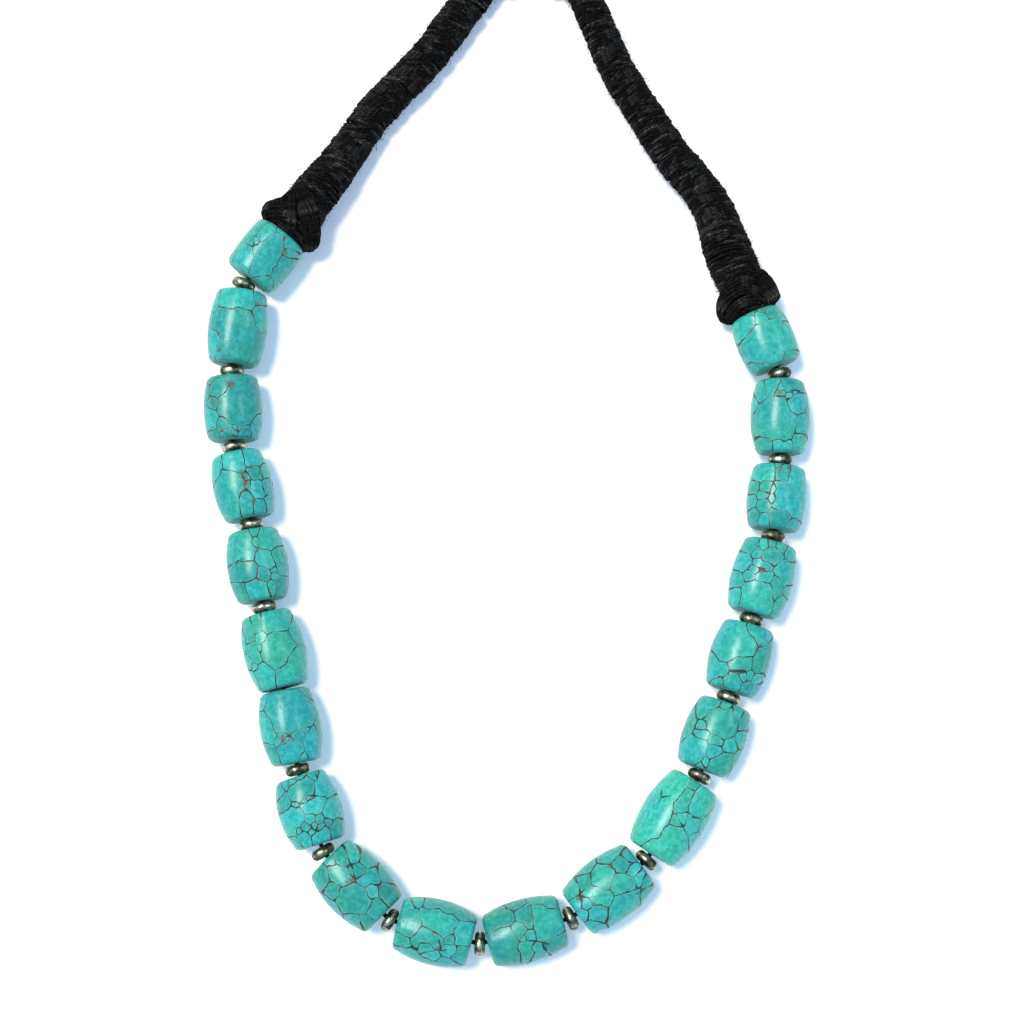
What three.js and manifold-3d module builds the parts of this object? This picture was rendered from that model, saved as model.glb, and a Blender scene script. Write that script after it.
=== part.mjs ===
// Beaded necklace, lying flat as a closed loop: nineteen barrel beads of veined stone on a thread, a
// small metal ring between neighbours, and two cords wound in black cotton that start in fat wrapped
// knots and meet in a bent barrel clasp. Millimetres, +Z up. It rests on z = 0, and the clasp is at +Y.

import * as THREE from 'three';
import { mergeVertices } from 'three/addons/utils/BufferGeometryUtils.js';
import Module from 'manifold-3d';

const wasm = await Module();
wasm.setup();

// Gaps between pieces that touch on the real necklace
const seatGap = 0.25;
const knotGap = 0.3;

// Corners nearer to each other than this are one corner
const weldDistance = 1e-4;

// Beads in string order, from the left knot round the front to the right knot. heading is the way the
// string runs through the bead, in degrees from +X.
const beads = [
  { length: 11.8, middle: 12.4, end: 11.0, heading: -127 },
  { length: 15.6, middle: 12.3, end: 9.8, heading: -96.5 },
  { length: 13.4, middle: 12.2, end: 10.0, heading: -87.5 },
  { length: 14.0, middle: 12.4, end: 9.8, heading: -76.5 },
  { length: 14.8, middle: 12.6, end: 9.8, heading: -80.5 },
  { length: 15.8, middle: 12.8, end: 9.8, heading: -75.5 },
  { length: 15.0, middle: 12.6, end: 9.7, heading: -79.5 },
  { length: 14.4, middle: 13.0, end: 9.9, heading: -72 },
  { length: 16.0, middle: 13.4, end: 10.4, heading: -45 },
  { length: 15.4, middle: 13.2, end: 10.2, heading: -14.5 },
  { length: 15.8, middle: 12.8, end: 10.1, heading: 15.5 },
  { length: 16.2, middle: 13.4, end: 10.5, heading: 37 },
  { length: 17.2, middle: 13.4, end: 10.3, heading: 57 },
  { length: 14.4, middle: 13.0, end: 10.4, heading: 69 },
  { length: 14.2, middle: 12.6, end: 10.1, heading: 73 },
  { length: 15.2, middle: 13.0, end: 10.3, heading: 74.5 },
  { length: 13.4, middle: 12.4, end: 10.2, heading: 83.5 },
  { length: 15.4, middle: 12.4, end: 9.6, heading: 89.5 },
  { length: 12.2, middle: 12.2, end: 10.4, heading: 112 },
];
const firstBeadEnd = { x: -47.3, y: 70.3 };
const beadEdge = 0.8;
const beadEdgeCut = 0.3 * beadEdge;
const beadSides = 16;
const boreRadius = 1.0;
const boreSides = 8;

// Beads that touch with no metal ring between them, counted from the left knot
const bareJoint = 6;

// Metal rings between the beads: a rounded rim on a bored disc
const rimRadius = 1.0;
const rimCentre = 1.7;
const spacerSides = 12;

const thread = { radius: 0.45, sides: 8, inKnot: 3 };

// Wrapped knots: a stout core, and one fat bundle that saddles over it and bulges on both sides
const knot = {
  length: 10,
  faceRadius: 4.6,
  waistRadius: 5.1,
  waistStart: 3,
  waistEnd: 7,
  cordRadius: 4.5,
  sides: 14,
};
const bundle = { radius: 5.2, thickness: 1.8, seat: 2.3, arch: 3.3, flatness: 0.87, sides: 8, steps: 22 };

// Centre lines of the two wound cords, knot end first
const cordLeft = [
  [-40.9, 78.8, 6.2],
  [-39.1, 81.2, 6.2],
  [-36.6, 84.9, 5.4],
  [-34.1, 88.7, 4.5],
  [-31.0, 93.5, 4.2],
  [-27.6, 98.2, 4.0],
  [-23.6, 102.7, 3.9],
  [-19.3, 107.3, 3.9],
  [-16.1, 111.1, 3.8],
  [-13.3, 115.1, 3.7],
  [-10.5, 119.2, 3.6],
  [-7.7, 122.8, 3.5],
  [-5.9, 125.0, 3.5],
  [-4.2, 126.7, 3.7],
  [-2.2, 128.1, 4.1],
  [1.3, 129.5, 4.1],
];
const cordRight = [
  [48.0, 63.0, 6.1],
  [46.9, 65.8, 6.1],
  [45.5, 71.0, 5.2],
  [43.8, 76.2, 4.4],
  [41.6, 80.2, 4.1],
  [38.9, 83.6, 4.1],
  [36.2, 86.8, 4.0],
  [33.8, 90.3, 3.9],
  [31.6, 93.7, 3.9],
  [29.6, 97.2, 3.8],
  [27.4, 100.7, 3.7],
  [25.2, 104.4, 3.7],
  [22.9, 109.0, 3.6],
  [20.9, 113.7, 3.6],
  [19.0, 118.4, 3.5],
  [17.1, 122.8, 3.4],
  [15.5, 125.1, 3.4],
  [13.8, 126.7, 3.7],
  [11.8, 128.1, 4.1],
  [8.3, 129.5, 4.1],
];
const cord = { knotRadius: 4.35, claspRadius: 3.1, sides: 12 };

// Bent barrel clasp that follows the loop's far turn and takes a cord's end in each socket
const clasp = { x: 4.8, y: 116.0, bend: 14.0, halfAngle: 30, radius: 4.1, sides: 14, steps: 8 };
const socket = { radius: 3.45, depth: 4.2, pastDegrees: 5 };

const stone = { color: 0x3fb3a8, roughness: 0.22, metalness: 0 };
const darkMetal = { color: 0x7d776b, roughness: 0.35, metalness: 1 };
const blackCotton = { color: 0x17171a, roughness: 0.95, metalness: 0 };
const claspMetal = { color: 0x8b877d, roughness: 0.3, metalness: 1 };

const degree = Math.PI / 180;

function bareGeometry(geometry) {
  const bare = geometry.clone();
  bare.deleteAttribute('normal');
  bare.deleteAttribute('uv');
  return mergeVertices(bare, weldDistance);
}

function solidOf(geometry) {
  const bare = bareGeometry(geometry);
  return new wasm.Manifold(new wasm.Mesh({
    numProp: 3,
    vertProperties: new Float32Array(bare.attributes.position.array),
    triVerts: new Uint32Array(bare.index.array),
  }));
}

function geometryOf(solid) {
  const mesh = solid.getMesh();
  const geometry = new THREE.BufferGeometry();
  geometry.setAttribute('position', new THREE.BufferAttribute(mesh.vertProperties, 3));
  geometry.setIndex(new THREE.BufferAttribute(mesh.triVerts, 1));
  geometry.computeVertexNormals();
  return geometry;
}

// A closed outline of [radius, distance along the axis] rows, spun about the X axis
function spun(outline, sides) {
  const points = outline.map(([radius, along]) => new THREE.Vector2(radius, along));
  return new THREE.LatheGeometry(points, sides).rotateZ(-Math.PI / 2);
}

// A capped tube with one ring of its own radius at each point of the route
function tube(route, radii, sides) {
  const corners = [];
  for (let i = 0; i < sides; i += 1) {
    const angle = (i / sides) * 2 * Math.PI;
    corners.push(new THREE.Vector2(radii[0] * Math.cos(angle), radii[0] * Math.sin(angle)));
  }
  const path = new THREE.CatmullRomCurve3(route);
  path.getPointAt = path.getPoint;
  path.getTangentAt = path.getTangent;
  const geometry = new THREE.ExtrudeGeometry(new THREE.Shape(corners), {
    steps: route.length - 1,
    extrudePath: path,
  });
  const position = geometry.attributes.position;
  const corner = new THREE.Vector3();
  for (let i = 0; i < position.count; i += 1) {
    corner.fromBufferAttribute(position, i);
    const distances = route.map((point) => point.distanceToSquared(corner));
    const ring = distances.indexOf(Math.min(...distances));
    corner.sub(route[ring]).multiplyScalar(radii[ring] / radii[0]).add(route[ring]);
    position.setXYZ(i, corner.x, corner.y, corner.z);
  }
  return geometry;
}

// Barrel bead along X: an arc from end to end, softened rims, flat faces and a bore right through
function beadGeometry({ length, middle, end }) {
  const half = length / 2;
  const arcSteps = 6;
  const arcHalf = half - beadEdge;
  const outline = [
    [boreRadius, -half],
    [end / 2 - beadEdge, -half],
    [end / 2 - beadEdgeCut, -half + beadEdgeCut],
  ];
  for (let i = 0; i <= arcSteps; i += 1) {
    const along = (2 * i) / arcSteps - 1;
    outline.push([middle / 2 - ((middle - end) / 2) * along * along, along * arcHalf]);
  }
  outline.push([end / 2 - beadEdgeCut, half - beadEdgeCut]);
  outline.push([end / 2 - beadEdge, half], [boreRadius, half], outline[0]);
  return spun(outline, beadSides);
}

function spacerGeometry() {
  const outline = [[boreRadius, -rimRadius]];
  const rimSteps = 4;
  for (let i = 0; i <= rimSteps; i += 1) {
    const angle = (i / rimSteps - 0.5) * Math.PI;
    outline.push([rimCentre + rimRadius * Math.cos(angle), rimRadius * Math.sin(angle)]);
  }
  outline.push([boreRadius, rimRadius], outline[0]);
  return spun(outline, spacerSides);
}

// Knot along X, its bead face at x = 0 and its cord end at x = knot.length
function knotGeometry() {
  const core = spun([
    [0, 0],
    [knot.faceRadius, 0],
    [knot.waistRadius, knot.waistStart],
    [knot.waistRadius, knot.waistEnd],
    [knot.cordRadius, knot.length],
    [0, knot.length],
  ], knot.sides);
  const saddle = new THREE.TorusGeometry(bundle.radius, bundle.thickness, bundle.sides, bundle.steps);
  saddle.rotateY(Math.PI / 2);
  const position = saddle.attributes.position;
  for (let i = 0; i < position.count; i += 1) {
    const round = Math.atan2(position.getZ(i), position.getY(i));
    const along = position.getX(i) + bundle.seat + bundle.arch * Math.sin(round) ** 2;
    position.setXYZ(i, along, position.getY(i), position.getZ(i) * bundle.flatness);
  }
  const depth = thread.inKnot + knotGap;
  const bore = new THREE.CylinderGeometry(boreRadius, boreRadius, 2 * depth, boreSides);
  bore.rotateZ(Math.PI / 2);
  return geometryOf(solidOf(core).add(solidOf(saddle)).subtract(solidOf(bore)));
}

function claspPoint(degrees) {
  const angle = degrees * degree;
  return new THREE.Vector3(
    clasp.x + clasp.bend * Math.cos(angle),
    clasp.y + clasp.bend * Math.sin(angle),
    clasp.radius,
  );
}

function claspArc(from, to, radius) {
  const route = [];
  for (let i = 0; i <= clasp.steps; i += 1) {
    route.push(claspPoint(from + ((to - from) * i) / clasp.steps));
  }
  return solidOf(tube(route, route.map(() => radius), clasp.sides));
}

function claspGeometry() {
  const low = 90 - clasp.halfAngle;
  const high = 90 + clasp.halfAngle;
  const reach = socket.depth / clasp.bend / degree;
  return geometryOf(claspArc(low, high, clasp.radius)
    .subtract(claspArc(low - socket.pastDegrees, low + reach, socket.radius))
    .subtract(claspArc(high - reach, high + socket.pastDegrees, socket.radius)));
}

const necklace = new THREE.Group();

function place(name, geometry, finish, spot) {
  const mesh = new THREE.Mesh(geometry, new THREE.MeshStandardMaterial(finish));
  mesh.name = name;
  if (spot) {
    mesh.position.set(spot.x, spot.y, spot.z);
    mesh.rotation.z = spot.heading * degree;
  }
  necklace.add(mesh);
}

function step(spot, headingDegrees, distance) {
  return {
    x: spot.x + distance * Math.cos(headingDegrees * degree),
    y: spot.y + distance * Math.sin(headingDegrees * degree),
  };
}

function numbered(name, number) {
  return `${name}_${String(number).padStart(2, '0')}`;
}

// Beads are laid one after another. Where the string turns, each ring stands a little further off the
// two faces, so that its rim clears both.
const threadRoute = [];
let here = { ...firstBeadEnd };
let spacerNumber = 0;
const leftFace = { ...here, z: beads[0].middle / 2, heading: beads[0].heading + 180 };
const leftThreadEnd = step(here, leftFace.heading, knotGap + thread.inKnot);
threadRoute.push(new THREE.Vector3(leftThreadEnd.x, leftThreadEnd.y, leftFace.z));

beads.forEach((bead, index) => {
  const z = bead.middle / 2;
  const centre = step(here, bead.heading, bead.length / 2);
  const far = step(here, bead.heading, bead.length);
  place(numbered('bead', index + 1), beadGeometry(bead), stone, { ...centre, z, heading: bead.heading });
  threadRoute.push(new THREE.Vector3(here.x, here.y, z), new THREE.Vector3(far.x, far.y, z));
  const next = beads[index + 1];
  if (!next) {
    here = far;
    return;
  }
  const halfTurn = (Math.abs(next.heading - bead.heading) / 2) * degree;
  if (index + 1 === bareJoint) {
    const standOff = seatGap / 2 + (bead.end / 2) * Math.tan(halfTurn);
    here = step(step(far, bead.heading, standOff), next.heading, standOff);
    return;
  }
  const standOff = rimRadius + seatGap + rimCentre * Math.sin(halfTurn);
  const middle = step(far, bead.heading, standOff);
  const spot = { ...middle, z: (z + next.middle / 2) / 2, heading: (bead.heading + next.heading) / 2 };
  spacerNumber += 1;
  place(numbered('spacer', spacerNumber), spacerGeometry(), darkMetal, spot);
  threadRoute.push(new THREE.Vector3(spot.x, spot.y, spot.z));
  here = step(middle, next.heading, standOff);
});

const lastBead = beads[beads.length - 1];
const rightFace = { ...here, z: lastBead.middle / 2, heading: lastBead.heading };
const rightThreadEnd = step(here, rightFace.heading, knotGap + thread.inKnot);
threadRoute.push(new THREE.Vector3(rightThreadEnd.x, rightThreadEnd.y, rightFace.z));
place('thread', tube(threadRoute, threadRoute.map(() => thread.radius), thread.sides), blackCotton);

function placeKnot(name, face) {
  const start = step(face, face.heading, knotGap);
  place(name, knotGeometry(), blackCotton, { ...start, z: face.z, heading: face.heading });
}

function placeCord(name, points) {
  const route = points.map(([x, y, z]) => new THREE.Vector3(x, y, z));
  const thinning = (cord.knotRadius - cord.claspRadius) / (route.length - 1);
  const radii = route.map((point, index) => cord.knotRadius - thinning * index);
  place(name, tube(route, radii, cord.sides), blackCotton);
}

placeKnot('knot_left', leftFace);
placeKnot('knot_right', rightFace);
placeCord('cord_left', cordLeft);
placeCord('cord_right', cordRight);
place('clasp', claspGeometry(), claspMetal);

export default necklace;
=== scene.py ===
import math
import random

import bmesh
import bpy
import numpy as np
from mathutils import Matrix, Vector, noise


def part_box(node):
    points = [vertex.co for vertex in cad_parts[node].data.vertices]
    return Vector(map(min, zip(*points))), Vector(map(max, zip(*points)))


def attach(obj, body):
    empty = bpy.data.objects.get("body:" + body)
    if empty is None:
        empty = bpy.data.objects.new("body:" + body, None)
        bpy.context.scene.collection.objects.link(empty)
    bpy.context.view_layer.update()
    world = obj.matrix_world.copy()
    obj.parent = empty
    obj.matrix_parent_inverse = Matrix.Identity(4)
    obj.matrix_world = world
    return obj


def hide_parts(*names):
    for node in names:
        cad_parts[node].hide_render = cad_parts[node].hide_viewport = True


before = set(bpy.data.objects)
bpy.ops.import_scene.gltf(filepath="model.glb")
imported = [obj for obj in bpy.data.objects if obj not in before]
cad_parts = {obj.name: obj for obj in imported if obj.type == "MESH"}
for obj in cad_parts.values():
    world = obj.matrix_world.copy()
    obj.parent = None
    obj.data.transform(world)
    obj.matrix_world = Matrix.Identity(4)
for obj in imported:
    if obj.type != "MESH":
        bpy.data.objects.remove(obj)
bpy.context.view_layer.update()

mm = 0.001


# Camera at the photo's angle, a little below straight overhead

cameraView = {
    "aim": (0.0011, 0.0120, 0.0),
    "distance": 0.446,
    "tilt": 7.5,  # degrees from straight down
    "lens": 74.46,
    "sensor": 36.0,
    "nearest": 0.01,
}


def addCamera():
    tilt = math.radians(cameraView["tilt"])
    data = bpy.data.cameras.new("camera")
    data.lens = cameraView["lens"]
    data.sensor_width = cameraView["sensor"]
    data.clip_start = cameraView["nearest"]
    eye = bpy.data.objects.new("camera", data)
    away = Vector((0, -math.sin(tilt), math.cos(tilt)))
    eye.location = Vector(cameraView["aim"]) + away * cameraView["distance"]
    eye.rotation_euler = (tilt, 0, 0)
    bpy.context.scene.collection.objects.link(eye)
    bpy.context.scene.camera = eye


addCamera()
print("camera placed")


# Small helpers for node materials

def addNode(tree, kind, inputs=None, **settings):
    node = tree.nodes.new(kind)
    for name, value in settings.items():
        setattr(node, name, value)
    for name, value in (inputs or {}).items():
        if isinstance(value, bpy.types.NodeSocket):
            tree.links.new(value, node.inputs[name])
        else:
            node.inputs[name].default_value = value
    return node


def mathNode(tree, operation, a, b=0.0):
    return addNode(tree, "ShaderNodeMath", {0: a, 1: b}, operation=operation).outputs[0]


def product(tree, a, b):
    return mathNode(tree, "MULTIPLY", a, b)


# Value times factor, plus more
def multiplyAdd(tree, value, factor, more, clamp=False):
    inputs = {0: value, 1: factor, 2: more}
    node = addNode(tree, "ShaderNodeMath", inputs, operation="MULTIPLY_ADD", use_clamp=clamp)
    return node.outputs[0]


def vectorNode(tree, operation, inputs, output="Vector"):
    return addNode(tree, "ShaderNodeVectorMath", inputs, operation=operation).outputs[output]


# Goes from 0 to 1 as value goes from low to high, or from 1 to 0 where low is above high
def ramp(tree, value, low, high):
    inputs = {"Value": value, "From Min": low, "From Max": high}
    node = addNode(tree, "ShaderNodeMapRange", inputs, interpolation_type="SMOOTHSTEP")
    return node.outputs["Result"]


# The same, but only up to the given most
def partRamp(tree, value, edges, most):
    return product(tree, ramp(tree, value, *edges), most)


def mixColours(tree, share, first, second):
    node = addNode(tree, "ShaderNodeMix", {0: share, 6: first, 7: second}, data_type="RGBA")
    return node.outputs[2]


def mixNumbers(tree, share, first, second):
    node = addNode(tree, "ShaderNodeMix", {0: share, 2: first, 3: second}, data_type="FLOAT")
    return node.outputs[0]


def noiseNode(tree, place, scale, detail=2.0, roughness=0.5, output="Fac"):
    inputs = {"Vector": place, "Scale": scale, "Detail": detail, "Roughness": roughness}
    return addNode(tree, "ShaderNodeTexNoise", inputs).outputs[output]


# Distance to the edges between cells
def cellEdges(tree, place, scale):
    inputs = {"Vector": place, "Scale": scale}
    return addNode(tree, "ShaderNodeTexVoronoi", inputs, feature="DISTANCE_TO_EDGE").outputs["Distance"]


def objectPlace(tree):
    return addNode(tree, "ShaderNodeTexCoord").outputs["Object"]


# A place after it is moved, turned and stretched
def mapPlace(tree, place, changes, kind="POINT"):
    inputs = {"Vector": place, **changes}
    return addNode(tree, "ShaderNodeMapping", inputs, vector_type=kind).outputs["Vector"]


def bump(tree, shader, height, distance, strength):
    inputs = {"Height": height, "Distance": distance, "Strength": strength}
    node = addNode(tree, "ShaderNodeBump", inputs)
    tree.links.new(node.outputs["Normal"], shader.inputs["Normal"])


def newMaterial(name):
    material = bpy.data.materials.new(name)
    material.use_nodes = True
    tree = material.node_tree
    return material, tree, tree.nodes["Principled BSDF"]


# Black cotton: nearly black plies with paler fibres, whose paleness is partly painted sheen of the thread,
# read along each thread's own UV in metres

cottonLook = {
    "deep": (0.0005, 0.0007, 0.0011, 1),
    "worn": (0.0110, 0.0120, 0.0130, 1),
    # colour of the pale fibres, partly real fibres and partly painted sheen of the thread
    "fibreAndSheen": (0.430, 0.400, 0.335, 1),
    "fibreLength": 0.9 * mm,
    "fibreWidth": 0.090 * mm,
    "twist": 24.0,  # degrees that the fibres lean round the thread
    "patchLength": 5.0 * mm,
    "wearEdge": (0.46, 0.68),  # where the patches start to be worn, and where they are fully
    "fibreAndSheenEdge": (0.54, 0.74),
    "leastFibreAndSheen": 0.16,  # how pale the fibres and their painted sheen are where nothing is worn
    "roughness": 0.85,
    "specular": 0.05,
    "sheen": 0.02,
    "sheenRoughness": 0.4,
    "relief": 0.08 * mm,
}


def cottonMaterial():
    look = cottonLook
    material, tree, shader = newMaterial("blackCotton")
    uv = addNode(tree, "ShaderNodeUVMap", uv_map="UVMap").outputs["UV"]
    turned = mapPlace(tree, uv, {"Rotation": (0, 0, math.radians(look["twist"]))})
    stretch = (1 / look["fibreLength"], 1 / look["fibreWidth"], 1)
    fibrePlace = mapPlace(tree, turned, {"Scale": stretch})
    patchStretch = (1 / look["patchLength"], 1 / look["patchLength"], 1)
    patchPlace = mapPlace(tree, uv, {"Scale": patchStretch})
    fibres = noiseNode(tree, fibrePlace, 1.0, 2.0, 0.6)
    patches = noiseNode(tree, patchPlace, 1.0, 1.0)
    wear = ramp(tree, patches, *look["wearEdge"])
    paleness = mixNumbers(tree, wear, look["leastFibreAndSheen"], 1.0)
    # Pale fibres over the plies: partly real fibres, partly painted sheen of the thread
    bright = product(tree, ramp(tree, fibres, *look["fibreAndSheenEdge"]), paleness)
    base = mixColours(tree, wear, look["deep"], look["worn"])
    tree.links.new(mixColours(tree, bright, base, look["fibreAndSheen"]), shader.inputs["Base Color"])
    shader.inputs["Roughness"].default_value = look["roughness"]
    shader.inputs["Specular IOR Level"].default_value = look["specular"]
    shader.inputs["Sheen Weight"].default_value = look["sheen"]
    shader.inputs["Sheen Roughness"].default_value = look["sheenRoughness"]
    bump(tree, shader, fibres, look["relief"], 1.0)
    return material


cotton = cottonMaterial()


# Thread and cord shapes

def meshPiece(name, bm, material):
    mesh = bpy.data.meshes.new(name)
    bm.to_mesh(mesh)
    bm.free()
    mesh.materials.append(material)
    piece = bpy.data.objects.new(name, mesh)
    bpy.context.scene.collection.objects.link(piece)
    return piece


# A curve with round threads along the given routes, made a mesh with its UV scaled to metres
def threadMesh(name, routes, radius, sides, material):
    curve = bpy.data.curves.new(name, "CURVE")
    curve.dimensions = "3D"
    curve.bevel_depth = radius
    curve.bevel_resolution = (sides - 4) // 2
    curve.use_fill_caps = True
    for route in routes:
        spline = curve.splines.new("POLY")
        spline.points.add(len(route) - 1)
        rows = np.ones((len(route), 4))
        rows[:, :3] = route
        spline.points.foreach_set("co", rows.ravel())
    holder = bpy.data.objects.new(name, curve)
    bpy.context.scene.collection.objects.link(holder)
    bpy.context.view_layer.update()
    shown = holder.evaluated_get(bpy.context.evaluated_depsgraph_get())
    mesh = bpy.data.meshes.new_from_object(shown)
    bpy.data.objects.remove(holder)
    bpy.data.curves.remove(curve)
    longest = max(lengthOf(route) for route in routes)
    layer = mesh.uv_layers["UVMap"].data
    uv = np.empty(len(layer) * 2)
    layer.foreach_get("uv", uv)
    uv = uv.reshape(-1, 2) * (longest, 2 * math.pi * radius)
    layer.foreach_set("uv", uv.ravel())
    mesh.materials.clear()
    mesh.materials.append(material)
    piece = bpy.data.objects.new(name, mesh)
    bpy.context.scene.collection.objects.link(piece)
    return piece


def lengthOf(route):
    route = np.asarray(route)
    return float(np.linalg.norm(np.diff(route, axis=0), axis=1).sum())


def joinPieces(name, pieces):
    bpy.ops.object.select_all(action="DESELECT")
    for piece in pieces:
        piece.select_set(True)
    bpy.context.view_layer.objects.active = pieces[0]
    bpy.ops.object.join()
    pieces[0].name = name
    return pieces[0]


# A smooth line through given points, with evenly spaced steps
def smoothRoute(points, spacing, stepsBetween=24):
    points = np.asarray(points, float)
    ends = (2 * points[0] - points[1], 2 * points[-1] - points[-2])
    knots = np.vstack((ends[0], points, ends[1]))
    fine = []
    for i in range(len(points) - 1):
        p0, p1, p2, p3 = knots[i:i + 4]
        for t in np.linspace(0, 1, stepsBetween, endpoint=False):
            fine.append(0.5 * (2 * p1 + (p2 - p0) * t + (2 * p0 - 5 * p1 + 4 * p2 - p3) * t ** 2
                               + (3 * p1 - p0 - 3 * p2 + p3) * t ** 3))
    fine.append(points[-1])
    fine = np.array(fine)
    walked = np.concatenate(([0], np.cumsum(np.linalg.norm(np.diff(fine, axis=0), axis=1))))
    places = np.linspace(0, walked[-1], max(2, round(walked[-1] / spacing) + 1))
    return np.stack([np.interp(places, walked, fine[:, axis]) for axis in range(3)], axis=1)


# A route with a side and a lift direction at every distance along it
class Track:
    def __init__(self, route):
        self.route = np.asarray(route)
        steps = np.linalg.norm(np.diff(self.route, axis=0), axis=1)
        self.walked = np.concatenate(([0], np.cumsum(steps)))
        self.length = float(self.walked[-1])
        self.ahead = np.gradient(self.route, self.walked, axis=0)
        self.ahead /= np.linalg.norm(self.ahead, axis=1)[:, None]
        side = np.cross(self.ahead, (0, 0, 1))
        self.side = side / np.linalg.norm(side, axis=1)[:, None]
        self.lift = np.cross(self.side, self.ahead)

    def at(self, rows, distance):
        return np.stack([np.interp(distance, self.walked, rows[:, axis]) for axis in range(3)], axis=-1)

    # Points at angles round the route, all arrays of one length
    def around(self, distance, angle, radius):
        distance = np.clip(distance, 0, self.length)
        spoke = (self.at(self.side, distance) * np.cos(angle)[:, None]
                 + self.at(self.lift, distance) * np.sin(angle)[:, None])
        return self.at(self.route, distance) + spoke * radius[:, None]


# Wound cotton cords. The points are the centre line, knot end first

cordRoutes = {
    "left": [
        (-0.0409, 0.0788, 0.0062),
        (-0.0391, 0.0812, 0.0062),
        (-0.0366, 0.0849, 0.0054),
        (-0.0341, 0.0887, 0.0045),
        (-0.0310, 0.0935, 0.0042),
        (-0.0276, 0.0982, 0.0040),
        (-0.0236, 0.1027, 0.0039),
        (-0.0193, 0.1073, 0.0039),
        (-0.0161, 0.1111, 0.0038),
        (-0.0133, 0.1151, 0.0037),
        (-0.0105, 0.1192, 0.0036),
        (-0.0077, 0.1228, 0.0035),
        (-0.0059, 0.1250, 0.0035),
        (-0.0042, 0.1267, 0.0037),
        (-0.0022, 0.1281, 0.0041),
        (0.0013, 0.1295, 0.0041),
    ],
    "right": [
        (0.0480, 0.0630, 0.0061),
        (0.0469, 0.0658, 0.0061),
        (0.0455, 0.0710, 0.0052),
        (0.0438, 0.0762, 0.0044),
        (0.0416, 0.0802, 0.0041),
        (0.0389, 0.0836, 0.0041),
        (0.0362, 0.0868, 0.0040),
        (0.0338, 0.0903, 0.0039),
        (0.0316, 0.0937, 0.0039),
        (0.0296, 0.0972, 0.0038),
        (0.0274, 0.1007, 0.0037),
        (0.0252, 0.1044, 0.0037),
        (0.0229, 0.1090, 0.0036),
        (0.0209, 0.1137, 0.0036),
        (0.0190, 0.1184, 0.0035),
        (0.0171, 0.1228, 0.0034),
        (0.0155, 0.1251, 0.0034),
        (0.0138, 0.1267, 0.0037),
        (0.0118, 0.1281, 0.0041),
        (0.0083, 0.1295, 0.0041),
    ],
}

# Outside radius of each wound cord: millimetres from its knot end, millimetres
cordThickness = {
    "left": [(0, 4.95), (3, 4.85), (9, 4.30), (14, 4.15), (30, 4.10), (54, 4.00), (62, 3.15)],
    "right": [(0, 5.30), (5, 5.20), (9, 4.75), (14, 4.40), (30, 4.15), (52, 3.90), (66, 3.65),
              (74, 3.15)],
}

winding = {
    "thread": 0.35 * mm,
    "sides": 8,
    "pitch": 0.66 * mm,
    "stepsPerTurn": 26,
    "routeStep": 0.5 * mm,
    "bandShortest": 1.0 * mm,
    "bandLongest": 2.7 * mm,
    "bandStep": 0.24 * mm,  # how far a band's lapping edge stands out
    "bandStepSpread": (0.5, 1.2),
    "lapFall": 1.4,  # how fast a band sinks from its lapping edge
    "slantSpread": 7.0,  # degrees
    "slantBlend": 15,  # steps over which one band's lean passes into the next
    "endFade": 5.0 * mm,  # stretch at each end over which the lean fades out
    "jitter": 0.26 * mm,  # how far a turn strays along the cord
    "jitterPace": 0.9,
    "jitterSize": 9.0 * mm,
    "swell": 0.16 * mm,  # how much the cord's thickness comes and goes
    "swellSize": 4.5 * mm,
    "wobble": 0.10 * mm,  # unevenness within a turn
    "wobbleSize": 2.2 * mm,
    "filling": 0.75 * mm,
    "fillingSides": 6,
    "fillingSteps": 20,
    "fillingPitch": 1.30 * mm,
    "fillingDepth": 2.6,  # how deep the filling lies, in thread radii
    "core": 2.31 * mm,
    "coreSides": 12,
    "coreStep": 1.5 * mm,
}
cordLean = {"left": 17.0, "right": -4.0}  # degrees that the windings lean on each cord
cordSeeds = {"left": 41, "right": 73}


# Bands of windings, each lapping over the next: where it starts, how it leans, how far it stands out
def windingBands(length, lean, dice):
    bands = []
    start = 0.0
    while start < length:
        slant = lean + dice.uniform(-1, 1) * winding["slantSpread"]
        bands.append((start, slant, winding["bandStep"] * dice.uniform(*winding["bandStepSpread"])))
        start += dice.uniform(winding["bandShortest"], winding["bandLongest"])
    return np.array(bands)


def outerRadius(side, distance):
    return np.interp(np.asarray(distance) / mm, *zip(*cordThickness[side])) * mm


# Smooth random values, one for each place
def unevenness(*columns):
    places = np.stack(np.broadcast_arrays(*columns), axis=1)
    return np.array([noise.noise(Vector(place)) for place in places])


# The thread's own route, turn after turn along the cord
def woundRoute(side, track, bands):
    shape = winding
    turns = track.length / shape["pitch"]
    angle = np.linspace(0, turns * 2 * math.pi, int(turns * shape["stepsPerTurn"]))
    distance = angle / (2 * math.pi) * shape["pitch"]

    place = np.searchsorted(bands[:, 0], distance, side="right") - 1
    bandEnd = np.append(bands[1:, 0], track.length)
    within = np.clip((distance - bands[place, 0]) / (bandEnd[place] - bands[place, 0]), 0, 1)
    lap = bands[place, 2] * (1 - within) ** shape["lapFall"]
    blend = np.ones(shape["slantBlend"]) / shape["slantBlend"]
    lean = np.convolve(bands[place, 1], blend, mode="same")
    lean *= np.clip(np.minimum(distance, track.length - distance) / shape["endFade"], 0, 1)

    wobble = unevenness(distance / shape["wobbleSize"], angle % (2 * math.pi), 0)
    stray = unevenness(angle * shape["jitterPace"], 3.7, distance / shape["jitterSize"])
    swell = unevenness(distance / shape["swellSize"], 9.1, 0)
    radius = outerRadius(side, distance) - shape["thread"] - bands[:, 2].max() * 0.5 + lap
    radius += wobble * shape["wobble"] + swell * shape["swell"]
    shift = radius * np.tan(np.radians(lean)) * np.cos(angle) + stray * shape["jitter"]
    return track.around(distance + shift, angle, radius)


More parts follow.
